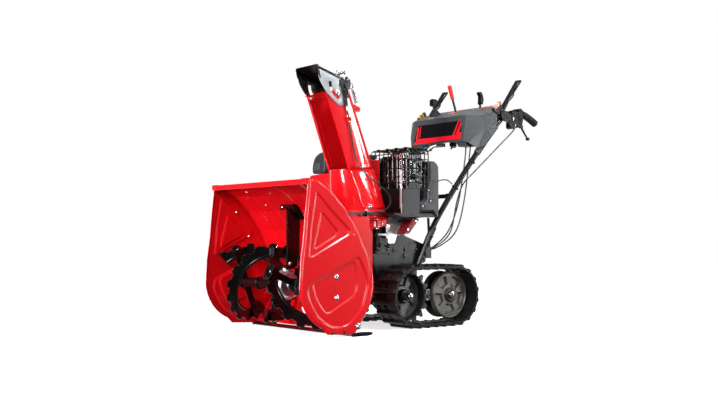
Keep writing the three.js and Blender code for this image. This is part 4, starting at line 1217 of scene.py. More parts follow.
def collar():
    levels = [RING_Z + 12, RING_Z + 34, RING_Z + 35, *spread(RING_Z + 45, COLLAR_TOP_Z, 15)]
    outer = [collar_section(z, 1.5 if z < RING_Z + 35 else 0.0) for z in levels]
    inner = [collar_section(z, -CHUTE_SHEET) for z in reversed(levels)]
    skinned = skin(outer + inner, loop=True)
    piece("chute_collar", [skinned], RED_PAINT, "chute", smooth=40)
    rim = turned([(0, RING_RADIUS - 8), (0, RING_RADIUS + 3), (3, RING_RADIUS + 4), (20, RING_RADIUS + 4),
                  (22, RING_RADIUS + 1), (22, RING_RADIUS - 8)], (0, RING_Y, RING_Z - 5), UP, 90)
    holed = rim[0], [face for face in rim[1] if len(face) == 4]
    piece("base_ring", [holed], RED_PAINT, replaces=["chute_base_ring"], edge=0.8)


def seam_y(z):
    """Front edge of the side panels where they overlap the collar."""
    return lerp(RING_Y - 58, chute_front(COLLAR_TOP_Z) + 10, (z - RING_Z - 22) / (COLLAR_TOP_Z - RING_Z - 22))


def side_panels():
    """The outer panels lapped over the collar, with a lip along their front edge."""
    levels = spread(RING_Z + 24, COLLAR_TOP_Z + 4, 14)
    rings = []
    for z in levels:
        section = collar_section(min(z, COLLAR_TOP_Z), 1.6)
        panel = sorted([p for p in section if p[0] > 0 and p[1] > seam_y(z) + 4], key=lambda p: (p[1], -p[0]))
        panel = resample([(p[0], p[1]) for p in panel if p[0] > 12], 12)
        start = (panel[0][0] + 0.6, seam_y(z))
        rings.append([(x, y, z) for x, y in [(start[0] - 4, start[1] - 2), start, *panel]])
    left = flipped(skin(rings, closed=False))
    panels = piece("chute_side_panels", [left, mirrored(left)], RED_PAINT, "chute", smooth=50)
    thicken(panels, PANEL_SHEET, 0)


def resample(line, count):
    """The same line with count points evenly spaced."""
    lengths = [0.0]
    for a, b in zip(line, line[1:]):
        lengths.append(lengths[-1] + math.dist(a, b))
    result = []
    for target in spread(0, lengths[-1], count):
        i = max(j for j in range(len(lengths)) if lengths[j] <= target + 1e-9)
        i = min(i, len(line) - 2)
        t = (target - lengths[i]) / max(1e-9, lengths[i + 1] - lengths[i])
        result.append((lerp(line[i][0], line[i + 1][0], t), lerp(line[i][1], line[i + 1][1], t)))
    return result


def chute_trim():
    beads = []
    for side in (-1, 1):
        levels = spread(COLLAR_TOP_Z, CHUTE_TOP_Z - 66, 12)
        line = [(side * (CHUTE_HALF - 2.2), chute_front(z) + 30, z) for z in levels]
        top = CHUTE_TOP_Z - 40
        line += [(side * (CHUTE_HALF - 2.2), chute_front(top) + 36, top),
                 (side * (CHUTE_HALF - 2.2), chute_front(CHUTE_TOP_Z) + 52, CHUTE_TOP_Z - 8)]
        beads.append(rod(line, 3, 2.4, 10))
        edge = [(side * (CHUTE_HALF + 1), chute_front(z) + 3, z)
                for z in spread(COLLAR_TOP_Z - 8, CHUTE_TOP_Z - 20, 10)]
        beads.append(swept(edge, 2.2, 10))
        seam = [(side * (collar_x(seam_y(z), z) + 2), seam_y(z), z)
                for z in spread(RING_Z + 24, COLLAR_TOP_Z - 4, 12)]
        beads.append(swept(seam, 1.8, 10))
    piece("chute_beads", beads, RED_PAINT, "chute")
    lip = [p for p in collar_section(COLLAR_TOP_Z, -1) if p[1] < 300]
    lip.sort(key=lambda p: p[0])
    piece("collar_lip", [swept(lip, 2.2, 10)], RED_PAINT, "chute")
    fittings = bolt((121, 357, 528), (1, -0.25, 0), 7) + bolt((-121, 357, 528), (-1, -0.25, 0), 7)
    fittings += bolt((80, 332, 906), OUT, 3.5)
    fittings += [turned([(0, 5), (9, 5), (11, 3), (11, 0)], (-64, chute_front(1002) + 10, 1002), OUT, 16)]
    piece("chute_bolts", fittings, BRIGHT_METAL, "chute")
    clip = [box((72, 89), (308, 328), (706, 716)), box((86, 90), (308, 328), (700, 722)),
            box((70, 87), (262, 284), (904, 912)), box((84, 87), (262, 284), (900, 918))]
    piece("cable_clip", clip, RED_PAINT, "chute", edge=1.0)


def collar_x(y, z):
    """Half width of the collar at a depth."""
    section = [p for p in collar_section(z) if p[0] > 0]
    return min(section, key=lambda p: abs(p[1] - y))[0]


# ---------------------------------------------------------------- deflector

CHEEK = [(104, 1130), (107, 1104), (120, 1064), (146, 1028), (178, 997), (226, 962), (245, 963), (268, 990),
         (276, 1015), (276, 1040), (265, 1073), (251, 1084)]
CHEEK_X = CHUTE_HALF + 3
CHEEK_THICKNESS = 3
CHEEK_PIVOT = (243, 1063)
SLOT_RADII = (60, 76)
SLOT_ANGLES = (178, 256)


def slot_outline():
    """The arc slot the cheek's locking bolt slides in."""
    start, end = SLOT_ANGLES
    inner, outer = SLOT_RADII
    return arc(CHEEK_PIVOT, outer, start, end, 16) + arc(CHEEK_PIVOT, inner, end, start, 16)


def cheek_mesh():
    """A cheek plate with its slot cut out."""
    outline = rounded(CHEEK, 6, 4)
    slot = slot_outline()
    count = len(outline)
    points = [Vector(p) for p in outline] + [Vector(p) for p in slot]
    loops = [list(range(count)), list(range(count, count + len(slot)))[::-1]]
    edges = [(loop[i], loop[(i + 1) % len(loop)]) for loop in loops for i in range(len(loop))]
    vertices, _, faces, *_ = delaunay_2d_cdt(points, edges, [], 1, 1e-5)
    flat = [(CHEEK_X, v.x, v.y) for v in vertices]
    kept = []
    for face in faces:
        middle = sum((vertices[i] for i in face), Vector((0, 0))) / len(face)
        if inside_distance(tuple(middle), slot) > 0.3:
            continue
        a, b, c = (vertices[i] for i in face[:3])
        kept.append(tuple(face) if (b - a).cross(c - a) > 0 else tuple(reversed(face)))
    return flat, kept


def deflector():
    cheek = cheek_mesh()
    cheeks = piece("deflector_cheeks", [cheek, mirrored(cheek)], CHEEK_PAINT, "chute_deflector",
                   replaces=["deflector"], smooth=40)
    cheeks.data.materials.append(BLACK_PLASTIC)
    thicken(cheeks, CHEEK_THICKNESS, 1).material_offset = 1
    half = CHEEK_X + 3
    rings = []
    for y, z in [(102, 1132), (150, 1118), (200, 1103), (251, 1087), (262, 1080), (268, 1066)]:
        rings.append([(-half, y, z - 16), (-half, y, z - 4), (-half + 5, y, z), (half - 5, y, z),
                      (half, y, z - 4), (half, y, z - 16), (half - 3, y, z - 16), (half - 3, y, z - 6),
                      (half - 7, y, z - 3), (-half + 7, y, z - 3), (-half + 3, y, z - 6),
                      (-half + 3, y, z - 16)])
    roof = skin(rings)
    stiffener = panel([(102, 1132), (110, 1132), (118, 1100), (124, 1076), (119, 1070), (106, 1104)], 2,
                      "x", half - 4, half + 1)
    tab = panel([(106, 1116), (118, 1120), (116, 1098), (108, 1094)], 3, "x", half - 14, half - 4)
    piece("deflector_roof", [roof, stiffener, mirrored(stiffener), tab], BLACK_PLASTIC, "chute_deflector",
          edge=0.8)
    bolts = bolt((half, *CHEEK_PIVOT), OUT, 8) + bolt((half, 217, 1022), OUT, 8)
    bolts += bolt((-half, *CHEEK_PIVOT), INWARD, 6)
    piece("deflector_bolts", bolts, BRIGHT_METAL, "chute_deflector")
    lever = [rod([(half + 4, 226, 1064), (half + 6, 236, 1040), (half + 6, 246, 1000),
                  (half + 4, 256, 964)], 5, 4.5, 10), rod([(half + 8, 243, 1063), (half + 9, 256, 1038),
                                                           (half + 9, 268, 1000)], 5, 4, 10),
             box((half, half + 8), (222, 262), (1050, 1076)), box((-30, 40), (236, 264), (1086, 1096)),
             box((half - 20, half + 6), (252, 280), (1040, 1080))]
    piece("deflector_link", lever, BLACK_PAINT, "chute_deflector", slot="black_plastic", edge=1.2)
    bracket = [box((-24, 44), (214, 290), (1092, 1097)), box((-24, -19), (214, 290), (1092, 1120)),
               box((39, 44), (236, 300), (1088, 1122)), box((-24, 44), (286, 291), (1084, 1106)),
               turned([(0, 6), (92, 6)], (-34, 270, 1114), OUT, 14),
               turned([(0, 9), (8, 9), (10, 7), (10, 0)], (58, 270, 1114), OUT, 14),
               turned([(0, 8), (7, 8), (9, 6), (9, 0)], (44, 296, 1096), OUT, 14)]
    piece("deflector_bracket", bracket, BRIGHT_METAL, "chute_deflector", edge=0.8)


COIL_SIDES = 14


def coil(start, end, radius, turns, wire):
    """A spring of round wire with straight ends."""
    start, end = Vector(start), Vector(end)
    axis = (end - start).normalized()
    side = axis.orthogonal().normalized()
    other = axis.cross(side)
    steps = turns * COIL_SIDES
    line = [start.lerp(end, i / steps) + (side * math.cos(2 * math.pi * i / COIL_SIDES)
            + other * math.sin(2 * math.pi * i / COIL_SIDES)) * radius for i in range(steps + 1)]
    return swept([start, *line, end], wire, 6)


def deflector_spring():
    shapes = [coil((30, 322, 1082), (30, 355, 990), 7, 18, 1.7),
              rod([(30, 262, 1096), (30, 300, 1098), (30, 318, 1092), (30, 322, 1082)], 4, 2.2, 8),
              swept([(30, 355, 990), (30, 363, 968)], 2.2, 8)]
    piece("return_spring", shapes, BRIGHT_METAL, "chute", replaces=["deflector_spring"])
    tab = panel([(330, 960), (368, 950), (372, 970), (336, 984)], 4, "x", 22, 40)
    piece("spring_tab", [tab], RED_PAINT, "chute", edge=1.0)


CABLE_ROUTE = [(84, 247, 1030), (82, 262, 970), (81, 270, 915), (80, 276, 883), (80, 286, 840),
               (80, 299, 782), (84, 314, 725), (98, 328, 695), (112, 346, 670), (130, 376, 640),
               (142, 416, 609), (150, 440, 585), (154, 450, 552), (152, 432, 522), (148, 392, 508),
               (138, 350, 500), (122, 318, 498)]


def chute_cable():
    line = smooth_line(CABLE_ROUTE, 6)
    wrap = [(128 * math.cos(a), RING_Y + 128 * math.sin(a), RING_Z + 2 + 2 * math.sin(3 * a))
            for a in spread(math.radians(-70), math.radians(60), 24)]
    second = [(127 * math.cos(a), RING_Y + 127 * math.sin(a), RING_Z + 9 + 2 * math.cos(4 * a))
              for a in spread(math.radians(-80), math.radians(20), 24)]
    shapes = [swept(line, 3.0, 10), swept(wrap, 2.8, 10), swept(second, 2.4, 10)]
    piece("chute_cables", shapes, CABLE_SHEATH, "chute", replaces=["chute_cable"])
    boot = rod([(84, 246, 1034), (84, 252, 1010), (83, 258, 985), (82, 263, 966)], 4,
               [6, 6, 6.5, 7, 6, 5.5, 6, 5, 6, 5, 5, 4.5, 4], 12)
    ties = [box((118, 136), (330, 338), (478, 508)), turned([(0, 9), (10, 9)], (112, 312, 486), OUT, 14)]
    piece("cable_boot", [boot, *ties], BLACK_PLASTIC, "chute", edge=0.6)
    connector = [turned([(0, 5), (6, 6), (30, 6), (34, 5)], (81, 268, 924), (-0.01, 0.22, -0.97), 14),
                 turned([(0, 5), (5, 6), (24, 6), (28, 4)], (82, 261, 962), (-0.01, 0.15, -0.98), 14)]
    piece("cable_connector", connector, BRIGHT_METAL, "chute", edge=0.6)


channel()
collar()
side_panels()
chute_trim()
deflector()
deflector_spring()
chute_cable()

# ---------------------------------------------------------------- machine frame

FRAME_HALF = 106


def machine_frame():
    cheek = rounded([(390, 283), (455, 110), (535, 110), (640, 262), (702, 283), (684, 323), (390, 323)], 8)
    doubler = rounded([(477, 323), (684, 323), (680, 367), (477, 367)], 5)
    upper = slab(doubler, "x", FRAME_HALF - 4, FRAME_HALF + 3)
    edge_fold = panel([(477, 316), (488, 316), (488, 367), (477, 367)], 3, "x", FRAME_HALF + 1,
                      FRAME_HALF + 6)
    plate = slab(cheek, "x", FRAME_HALF - 4, FRAME_HALF)
    shapes = [plate, upper, edge_fold]
    shapes += [mirrored(shape) for shape in shapes]
    shapes.append(box((-FRAME_HALF, FRAME_HALF), (477, 684), (363, 367)))
    shapes.append(box((-FRAME_HALF, FRAME_HALF), (390, 394), (284, 323)))
    shapes.append(box((-FRAME_HALF, FRAME_HALF), (698, 702), (284, 366)))
    posts = [rod([(side * 131, 700, 330), (side * 131, 700, 400), (side * 128, 698, 484)], 4, 6, 12)
             for side in (-1, 1)]
    holder = box((100, 140), (672, 706), (300, 352))
    bumper = [panel([(474, 367), (500, 404), (560, 408), (684, 367)], 4, "x", side * 70 - 30,
                    side * 70 + 30) for side in (-1, 1)]
    piece("frame_box", [*shapes, *posts, holder, mirrored(holder), *bumper], FRAME_PAINT,
          replaces=["main_frame"], edge=1.2)
    heads = []
    for y, z in ((505, 338), (573, 340), (642, 338), (571, 312), (676, 326)):
        heads += bolt((FRAME_HALF + 3, y, z), OUT, 6.5)
    both("frame_bolts", heads, BLACK_PAINT, edge=0.4)


def transmission():
    case = panel([(400, 196), (470, 196), (470, 400), (458, 431), (412, 431), (400, 400)], 8, "x", -100, 100)
    ribs = [box((100, 104), (404 + 14 * i, 408 + 14 * i), (210, 420)) for i in range(5)]
    tail = panel([(466, 172), (560, 172), (560, 338), (466, 338)], 14, "x", -70, 70)
    side = panel([(408, 333), (462, 333), (466, 380), (452, 428), (418, 431), (408, 400)], 8, "x", 100, 112)
    flange = panel([(394, 322), (476, 322), (476, 336), (394, 336)], 4, "x", 98, 114)
    linkage = [rod([(116, 398, 434), (118, 404, 400), (118, 400, 360), (116, 416, 334)], 5, 4, 10),
               rod([(116, 410, 434), (118, 418, 396), (118, 414, 366), (116, 428, 340)], 5, 3, 10),
               box((112, 120), (396, 430), (340, 350)), box((112, 122), (420, 440), (352, 372)),
               swept([(112, 440, 366), (118, 468, 352)], 4, 10)]
    piece("transmission_body", [case, *ribs, tail, side, flange, *linkage], FRAME_PAINT,
          replaces=["transmission_case"], edge=1.2)
    heads = bolt((114, 404, 330), OUT, 6) + bolt((120, 402, 345), OUT, 6) + bolt((114, 468, 340), OUT, 6)
    piece("transmission_bolts", heads, BLACK_PAINT)
    ends = [turned([(0, 4.5), (14, 4.5)], (118, y, z), (0, 0.6, 0.8), 10)
            for y, z in ((392, 430), (402, 432), (424, 446))]
    piece("linkage_ends", ends, BRIGHT_METAL)


# ---------------------------------------------------------------- engine


def crankcase():
    block = panel([(476, 368), (516, 368), (528, 400), (560, 452), (620, 470), (620, 484), (476, 484)], 6,
                  "x", -100, 104)
    head = panel([(496, 410), (514, 410), (566, 470), (540, 476)], 4, "x", 100, 146)
    fins = [panel([(488, 406), (518, 404), (578, 472), (540, 480)], 5, "x", x, x + 3)
            for x in (108, 116, 124, 132, 140)]
    barrel = turned([(0, 50), (2, 52), (150, 52), (154, 48)], (0, 474, 420), BACKWARD, 40)
    shaft = turned([(0, 11), (88, 12)], (0, 393, 420), BACKWARD, 24)
    front = turned([(0, 28), (3, 30), (40, 30), (46, 26)], (104, 440, 426), BACKWARD, 32)
    collar = turned([(0, 34), (8, 34), (10, 32)], (104, 438, 402), UP, 32)
    plug = turned([(0, 10), (14, 10), (14, 0)], (118, 458, 398), (1, -0.4, 0), 6)
    body = panel([(440, 392), (500, 392), (500, 452), (440, 452)], 8, "x", 60, 134)
    piece("crankcase_body", [block, head, *fins, barrel, shaft, front, collar, plug, body], CAST_METAL,
          replaces=["engine_crankcase"], edge=1.5)


def valve_cover():
    outline = rounded([(490, 412), (517, 410), (578, 476), (543, 481)], 7, 5)
    shell = slab(outline, "x", 147, 200)
    rim = panel([(486, 410), (519, 406), (583, 476), (543, 485)], 8, "x", 146, 154, 5)
    pads = [panel([(497, 419), (514, 419), (534, 441), (518, 443)], 5, "x", 199, 204, 5),
            panel([(524, 449), (540, 446), (566, 473), (547, 474)], 5, "x", 199, 204, 5)]
    piece("rocker_cover", [shell, rim, *pads], DARK_RED, replaces=["valve_cover"], edge=2.5, segments=3)
    rod = [swept([(180, 545, 480), (180, 538, 498)], 3.5, 10)]
    rod += bolt((204, 506, 428), OUT, 4) + bolt((204, 556, 464), OUT, 4)
    piece("rocker_cover_rod", rod, BRIGHT_METAL)


def engine_panels():
    shelf_line = [(418, 500), (640, 500), (656, 492), (640, 484), (470, 484), (426, 494)]
    shelf = panel(shelf_line, 3, "x", -100, 212)
    ramp = skin([[(128, 424, 499), (212, 440, 499), (212, 622, 499), (128, 622, 499)],
                 [(128, 456, 486), (206, 500, 470), (200, 600, 484), (128, 600, 484)]])
    side = panel([(470, 498), (571, 498), (571, 606), (470, 606)], 4, "x", 204, 210)
    front = slab([(105, 498), (210, 498), (210, 606), (105, 606)], "y", 469, 474)
    inner = box((-60, 111), (526, 532), (498, 604))
    rear = box((105, 111), (470, 532), (498, 604))
    step = panel([(500, 606), (571, 606), (571, 640), (548, 640), (500, 618)], 4, "x", 200, 206)
    piece("engine_covers", [shelf, ramp, side, inner, rear, step], FRAME_PAINT,
          replaces=["engine_side_panel"], edge=1.6)
    piece("engine_front_cover", [front], MAROON, edge=1.0)
    strips = [box((203, 208), (466.5, 469), (500, 690)), box((196, 199), (466.5, 469), (520, 690))]
    piece("cover_strips", strips, CAST_METAL, slot="zinc_steel", edge=0.5)


def rear_cover():
    outline = rounded([(569, 546), (572, 514), (600, 512), (652, 512), (672, 486), (688, 484), (690, 500),
                       (690, 712), (672, 736), (628, 736), (626, 640), (622, 618), (612, 606), (612, 566),
                       (598, 556)], 9, 5)
    shell = slab(outline, "x", -120, 200)
    face_line = rounded([(573, 544), (576, 518), (600, 516), (654, 516), (674, 490), (685, 488), (686, 500),
                         (686, 709), (669, 731), (632, 731), (630, 640), (626, 616), (616, 602), (616, 562),
                         (600, 551)], 9, 5)
    face = slab(face_line, "x", 198, 210)
    upper = panel([(632, 650), (684, 648), (684, 706), (668, 729), (634, 729)], 6, "x", 208, 212, 4)
    piece("starter_cover", [shell, face, upper], DARK_PLASTIC, replaces=["rear_cover"], edge=3, segments=3)
    holes, heads = [], []
    for y, z, radius in ((590, 533, 10), (636, 556, 10), (624, 606, 10), (632, 588, 5)):
        holes.append(turned([(0, radius), (2.5, radius), (3, radius - 1.5), (0.5, radius - 2), (0.5, 0)],
                            (209, y, z), OUT, 24))
        if radius > 5:
            heads += bolt((209.5, y, z), OUT, 4, washer=False)
    piece("cover_sockets", holes, BLACK_PLASTIC)
    piece("cover_screws", heads, CAST_METAL, slot="zinc_steel")
    seam = [box((209, 212.4), (628, 688), (644, 647))]
    piece("cover_seam", seam, BLACK_PLASTIC)


CAGE_X = (-40, 206)
CAGE_Y = (497, 626)
CAGE_Z = (608, 786)
WIRE_RADIUS = 2.6


def cage():
    wires = []
    left, right = CAGE_X
    front, rear = CAGE_Y
    low, top = CAGE_Z
    for i, x in enumerate(spread(left, right, 9)):
        foot = low if i % 2 == 0 else low + 46
        hump = 6 if i % 2 else 0
        line = [(x, front, foot), (x, front, 700), (x, front, top - 22), (x, front + 8, top - 4 + hump),
                (x, front + 30, top + hump), (x, rear - 24, top), (x, rear, top - 14)]
        wires.append(rod(line, 5, WIRE_RADIUS, 8))
    for y in spread(front + 16, rear, 6):
        line = [(right, y, low + 4), (right, y, 700), (right, y, top - 20), (right - 8, y, top - 3),
                (right - 30, y, top + 2), (left, y, top + 2)]
        wires.append(rod(line, 5, WIRE_RADIUS, 8))
    for z in (low, low + 28, 662, 700, 740, top - 20):
        corner = 8
        line = [(left, front - 2, z), (right - corner, front - 2, z),
                (right + 1, front + corner, z), (right + 1, rear, z)]
        wires.append(rod(line, 5, 2.4, 8))
    ring = [(right + 3, 566 + 40 * math.cos(a), 700 + 44 * math.sin(a))
            for a in spread(0, 2 * math.pi, 33)[:-1]]
    wires.append(swept(ring, 3.2, 8, loop=True))
    wires.append(rod([(right + 2, 520, 668), (right + 4, 556, 640), (right + 2, 604, 634),
                      (right, 624, 668)], 6, 3, 8))
    piece("cage_wires", wires, BLACK_PAINT, replaces=["muffler_guard"])


def muffler():
    body = panel([(508, 614), (604, 614), (604, 760), (508, 760)], 14, "x", 22, 188, 5)
    seam = panel([(504, 684), (608, 684), (608, 690), (504, 690)], 2, "x", 18, 192)
    port = turned([(0, 34), (8, 34), (12, 30), (12, 24), (4, 22), (4, 0)], (188, 562, 700), OUT, 40)
    ribs = [box((40 + 26 * i, 46 + 26 * i), (504, 508), (622, 752)) for i in range(5)]
    pipes = [rod([(60, 500, 640), (64, 498, 700), (90, 500, 748), (140, 510, 768)], 5, 7, 12),
             rod([(-10, 520, 620), (-6, 516, 690), (-2, 530, 752)], 5, 12, 14)]
    piece("muffler_shell", [body, seam, port, *ribs, *pipes], BLACK_PAINT, replaces=["muffler"], edge=1.5)
    strips = [box((150, 158), (502, 504), (622, 752)), box((176, 182), (502, 504), (640, 752)),
              box((120, 172), (500, 506), (752, 762)), box((196, 200), (528, 534), (620, 740)),
              box((92, 104), (498, 502), (690, 700)), box((60, 74), (498, 502), (664, 672))]
    for z in (648, 672, 716, 738):
        strips += bolt((60, 502, z), FORWARD, 4, washer=False) + bolt((112, 502, z), FORWARD, 3.5,
                                                                      washer=False)
    piece("muffler_strips", strips, BRIGHT_METAL, edge=0.5)
    for i, (colour, start, bend, end) in enumerate(((WIRE_BLUE, (150, 640, 772), (140, 668, 800),
                                                     (120, 706, 806)),
                                                    (WIRE_YELLOW, (150, 632, 766), (146, 664, 790),
                                                     (120, 700, 796)),
                                                    (WIRE_WHITE, (170, 640, 770), (176, 668, 800),
                                                     (180, 700, 812)),
                                                    (BLACK_PLASTIC, (160, 630, 774), (166, 668, 806),
                                                     (168, 704, 824)),
                                                    (BLACK_PLASTIC, (120, 640, 770), (150, 690, 790),
                                                     (190, 700, 830)))):
        wire = rod([start, bend, end], 6, 3.0, 8)
        piece(f"engine_wire_{i}", [wire], colour, slot="black_plastic")


def recoil():
    housing = turned([(0, 50), (40, 54), (58, 54), (60, 50), (60, 42), (66, 40), (70, 36), (70, 0)],
                     (0, 634, 560), BACKWARD, 48)
    slots = [moved(box((-3, 3), (700, 706), (12, 32)),
                   Matrix.Translation((0, 0, 560)) @ Matrix.Rotation(a, 4, "Y")) for a in full_turn(12)]
    foot = box((-20, 20), (634, 650), (500, 520))
    piece("starter_housing", [housing, *slots, foot], DARK_PLASTIC, replaces=["recoil_starter"], edge=1.0)
    handle = turned([(0, 7), (4, 9), (28, 8), (52, 9), (56, 7)], (6, 730, 540), OUT, 20)
    neck = turned([(0, 3), (18, 3), (22, 5)], (34, 705, 540), BACKWARD, 14)
    piece("starter_handle", [handle, neck], BLACK_PLASTIC, "starter_grip", replaces=["recoil_grip"], edge=0.8)


def tank():
    body = panel([(502, 624), (626, 624), (626, 746), (502, 746)], 16, "x", -190, -48, 5)
    strip = box((-58, 24), (491, 495), (640, 746))
    joint = box((-58, -47), (491, 506), (642, 744))
    neck = turned([(0, 26), (10, 26), (14, 24)], (-120, 560, 746), UP, 32)
    piece("tank_body", [body, strip, joint, neck], RED_PAINT, replaces=["fuel_tank"], edge=2.0)
    knob = []
    for radius, z in ((28, 760.6), (31, 762), (31, 774), (28, 778)):
        knob.append([((radius + 1.2 * math.cos(12 * a)) * math.cos(a) - 120,
                      (radius + 1.2 * math.cos(12 * a)) * math.sin(a) + 560, z) for a in full_turn(96)])
    piece("tank_cap", [skin(knob)], BLACK_PLASTIC, "cap", replaces=["fuel_cap"], edge=0.8)


def air_cleaner():
    outline = rounded([(-298, 690), (-297, 730), (-280, 768), (-240, 788), (-200, 788), (-200, 690)], 22, 6)
    dome = slab(outline, "y", 353, 470)
    mark = panel([(-284, 706), (-232, 706), (-232, 740), (-276, 740)], 12, "y", 350.5, 354, 6)
    back = box((-238, -202), (396, 468), (602, 692))
    piece("cleaner_dome", [dome, back], DARK_PLASTIC, slot="grey_plastic", replaces=["air_cleaner_cover"],
          edge=6, segments=4)
    piece("cleaner_patch", [mark], GREY_PLASTIC, slot="dark_plastic", edge=0.6)


def pulleys_and_belt():
    for name, z, body, node in (("impeller_sheave", BLOWER_Z, "impeller_rotor", "impeller_pulley"),
                                ("engine_sheave", 420, "crankshaft", "engine_pulley")):
        wheel = turned([(0, 42), (6, 42), (11, 33), (15, 33), (20, 42), (26, 42), (26, 16), (26, 0)],
                       (0, 350, z), BACKWARD, 48)
        shapes = [wheel]
        if body == "crankshaft":
            shapes.append(turned([(0, 12), (15, 12)], (0, 375, z), BACKWARD, 20))
        piece(name, shapes, CAST_METAL, body, replaces=[node], edge=0.8)
    path = [*arc((0, 420), 43, 0, 180, 20), *arc((0, BLOWER_Z), 43, 180, 360, 20)]
    outer = [*arc((0, 420), 50, 0, 180, 20), *arc((0, BLOWER_Z), 50, 180, 360, 20)]
    rings = [[(x, 357, z) for x, z in path], [(x, 356, z) for x, z in outer], [(x, 370, z) for x, z in outer],
             [(x, 369, z) for x, z in path]]
    piece("v_belt", [skin(rings, loop=True)], RUBBER, replaces=["drive_belt"], edge=0.5)


def belt_cover():
    lid = panel([(-104, 150), (104, 150), (104, 479), (-104, 479)], 10, "y", 386, 389)
    skirts = [box((side * 104 - 1.5, side * 104 + 1.5), (339, 389), (156, 474)) for side in (-1, 1)]
    ends = [box((-104, 104), (339, 389), (150, 153)), box((-104, 104), (339, 389), (476, 479))]
    shoulder = panel([(-302, 422), (-302, 672), (-292, 683), (-156, 688), (-156, 480), (-104, 480),
                      (-104, 422)], 8, "y", 341, 389)
    rib = panel([(-290, 500), (-172, 500), (-172, 660), (-290, 654)], 12, "y", 338.5, 342)
    ledge = panel([(-296, 420), (-104, 420), (-104, 430), (-296, 430)], 3, "y", 336, 392)
    piece("belt_case", [lid, *skirts, *ends, shoulder, rib, ledge], RED_PAINT, replaces=["belt_cover"],
          edge=1.5)
    heads = []
    for x, z in ((-92, 200), (92, 200), (-92, 440), (92, 440)):
        heads += bolt((x, 389, z), BACKWARD, 5)
    piece("belt_case_bolts", heads, BRIGHT_METAL)


machine_frame()
transmission()
crankcase()
valve_cover()
engine_panels()
rear_cover()
cage()
muffler()
recoil()
tank()
air_cleaner()
pulleys_and_belt()
belt_cover()

# ---------------------------------------------------------------- handlebars

TUBE_ROUTE = [(120, 636, 258), (122, 652, 296), (145, 714, 446), (175, 817, 616), (219, 940, 806),
              (245, 1032, 927), (250, 1082, 970), (252, 1140, 988), (252, 1200, 984), (252, 1250, 966),
              (252, 1294, 944)]


GRIP_PART = (0.888, 1.0)      # the shares of the tube's length inside the grip and the console
SOCKET_PART = (0.56, 0.72)


def part_of(line, start, end):
    """The piece of a line between two fractions of its length."""
    lengths = [0.0]
    for a, b in zip(line, line[1:]):
        lengths.append(lengths[-1] + (b - a).length)
    low, high = start * lengths[-1], end * lengths[-1]
    return [p for p, at in zip(line, lengths) if low <= at <= high]


def handlebars():
    line = smooth_line(TUBE_ROUTE, 8)
    both("tube", [swept(line, TUBE_RADIUS, 24)], BLACK_PAINT, node="handlebar")
    fine = smooth_line(part_of(line, *GRIP_PART), 4)
    radii = [16.2 + (0.9 if i % 3 else 0.0) for i in range(len(fine))]
    radii[0] = radii[1] = 18.5
    radii[-1], radii[-2], radii[-3] = 11, 15, 17.4
    both("rubber_grip", [swept(fine, radii, 28)], GRIP_RUBBER, node="grip", smooth=50)
    brace = turned([(0, 9), (2, 10), (306, 10), (308, 9)], (-154, 798, 584), OUT, 24)
    lugs = [box((side * 160 - 10, side * 160 + 10), (786, 812), (572, 596)) for side in (-1, 1)]
    piece("brace_tube", [brace, *lugs], BLACK_PAINT, replaces=["cross_brace"], edge=1.5)
    gusset = swept([(118, 650, 270), (154, 718, 440)], 7, 4)
    both("tube_gusset", [gusset], BLACK_PAINT, edge=1.0)
    heads = bolt((134, 664, 302), OUT, 7) + bolt((150, 700, 400), OUT, 6)
    both("tube_bolts", heads, BLACK_PAINT)


def cables():
    routes = [[(250, 1150, 916), (246, 1128, 890), (228, 1064, 828), (210, 996, 762), (192, 924, 694),
               (178, 872, 640), (160, 850, 560), (140, 820, 410), (114, 720, 334)],
              [(140, 960, 850), (150, 947, 800), (152, 905, 566), (150, 850, 420), (130, 760, 352),
               (108, 700, 336)], [(120, 940, 850), (132, 936, 790), (140, 880, 560), (140, 810, 420),
                                  (124, 730, 350), (108, 690, 330)],
              [(196, 1000, 840), (176, 890, 690), (150, 800, 560), (140, 740, 470), (130, 700, 420)],]
    made = [rod(route, 8, 3.2, 10) for route in routes]
    short = rod([(100, 690, 640), (130, 740, 652), (150, 790, 660), (168, 812, 640)], 6, 3, 10)
    ties = []
    for place in ((206, 900, 744), (177, 820, 622)):
        ties.append(turned([(0, 17), (5, 17)], place, (0.2, 0.55, 0.8), 20))
    piece("control_cables", [*made, short], CABLE_SHEATH, replaces=["steering_cable"])
    piece("cable_ties", ties, BLACK_PLASTIC)
    ends = [turned([(0, 4), (24, 4), (26, 3)], route[0], (0.05, 0.1, -1), 12) for route in routes[1:3]]
    piece("cable_ends", ends, BRIGHT_METAL)


# ---------------------------------------------------------------- control console

FASCIA_LOW = (873, 842)
FASCIA_HIGH = (892, 967)
CONSOLE_HALF = 180
CONSOLE_REAR = 1104
TOP_SLOPE = 0.3


def top_z(y):
    return FASCIA_HIGH[1] + (y - FASCIA_HIGH[0]) * TOP_SLOPE


def facets(corners, faces):
    """A faceted body from named corners."""
    names = list(corners)
    points = [corners[n] for n in names]
    listed = [tuple(names.index(n) for n in face) for face in faces]
    return points, listed


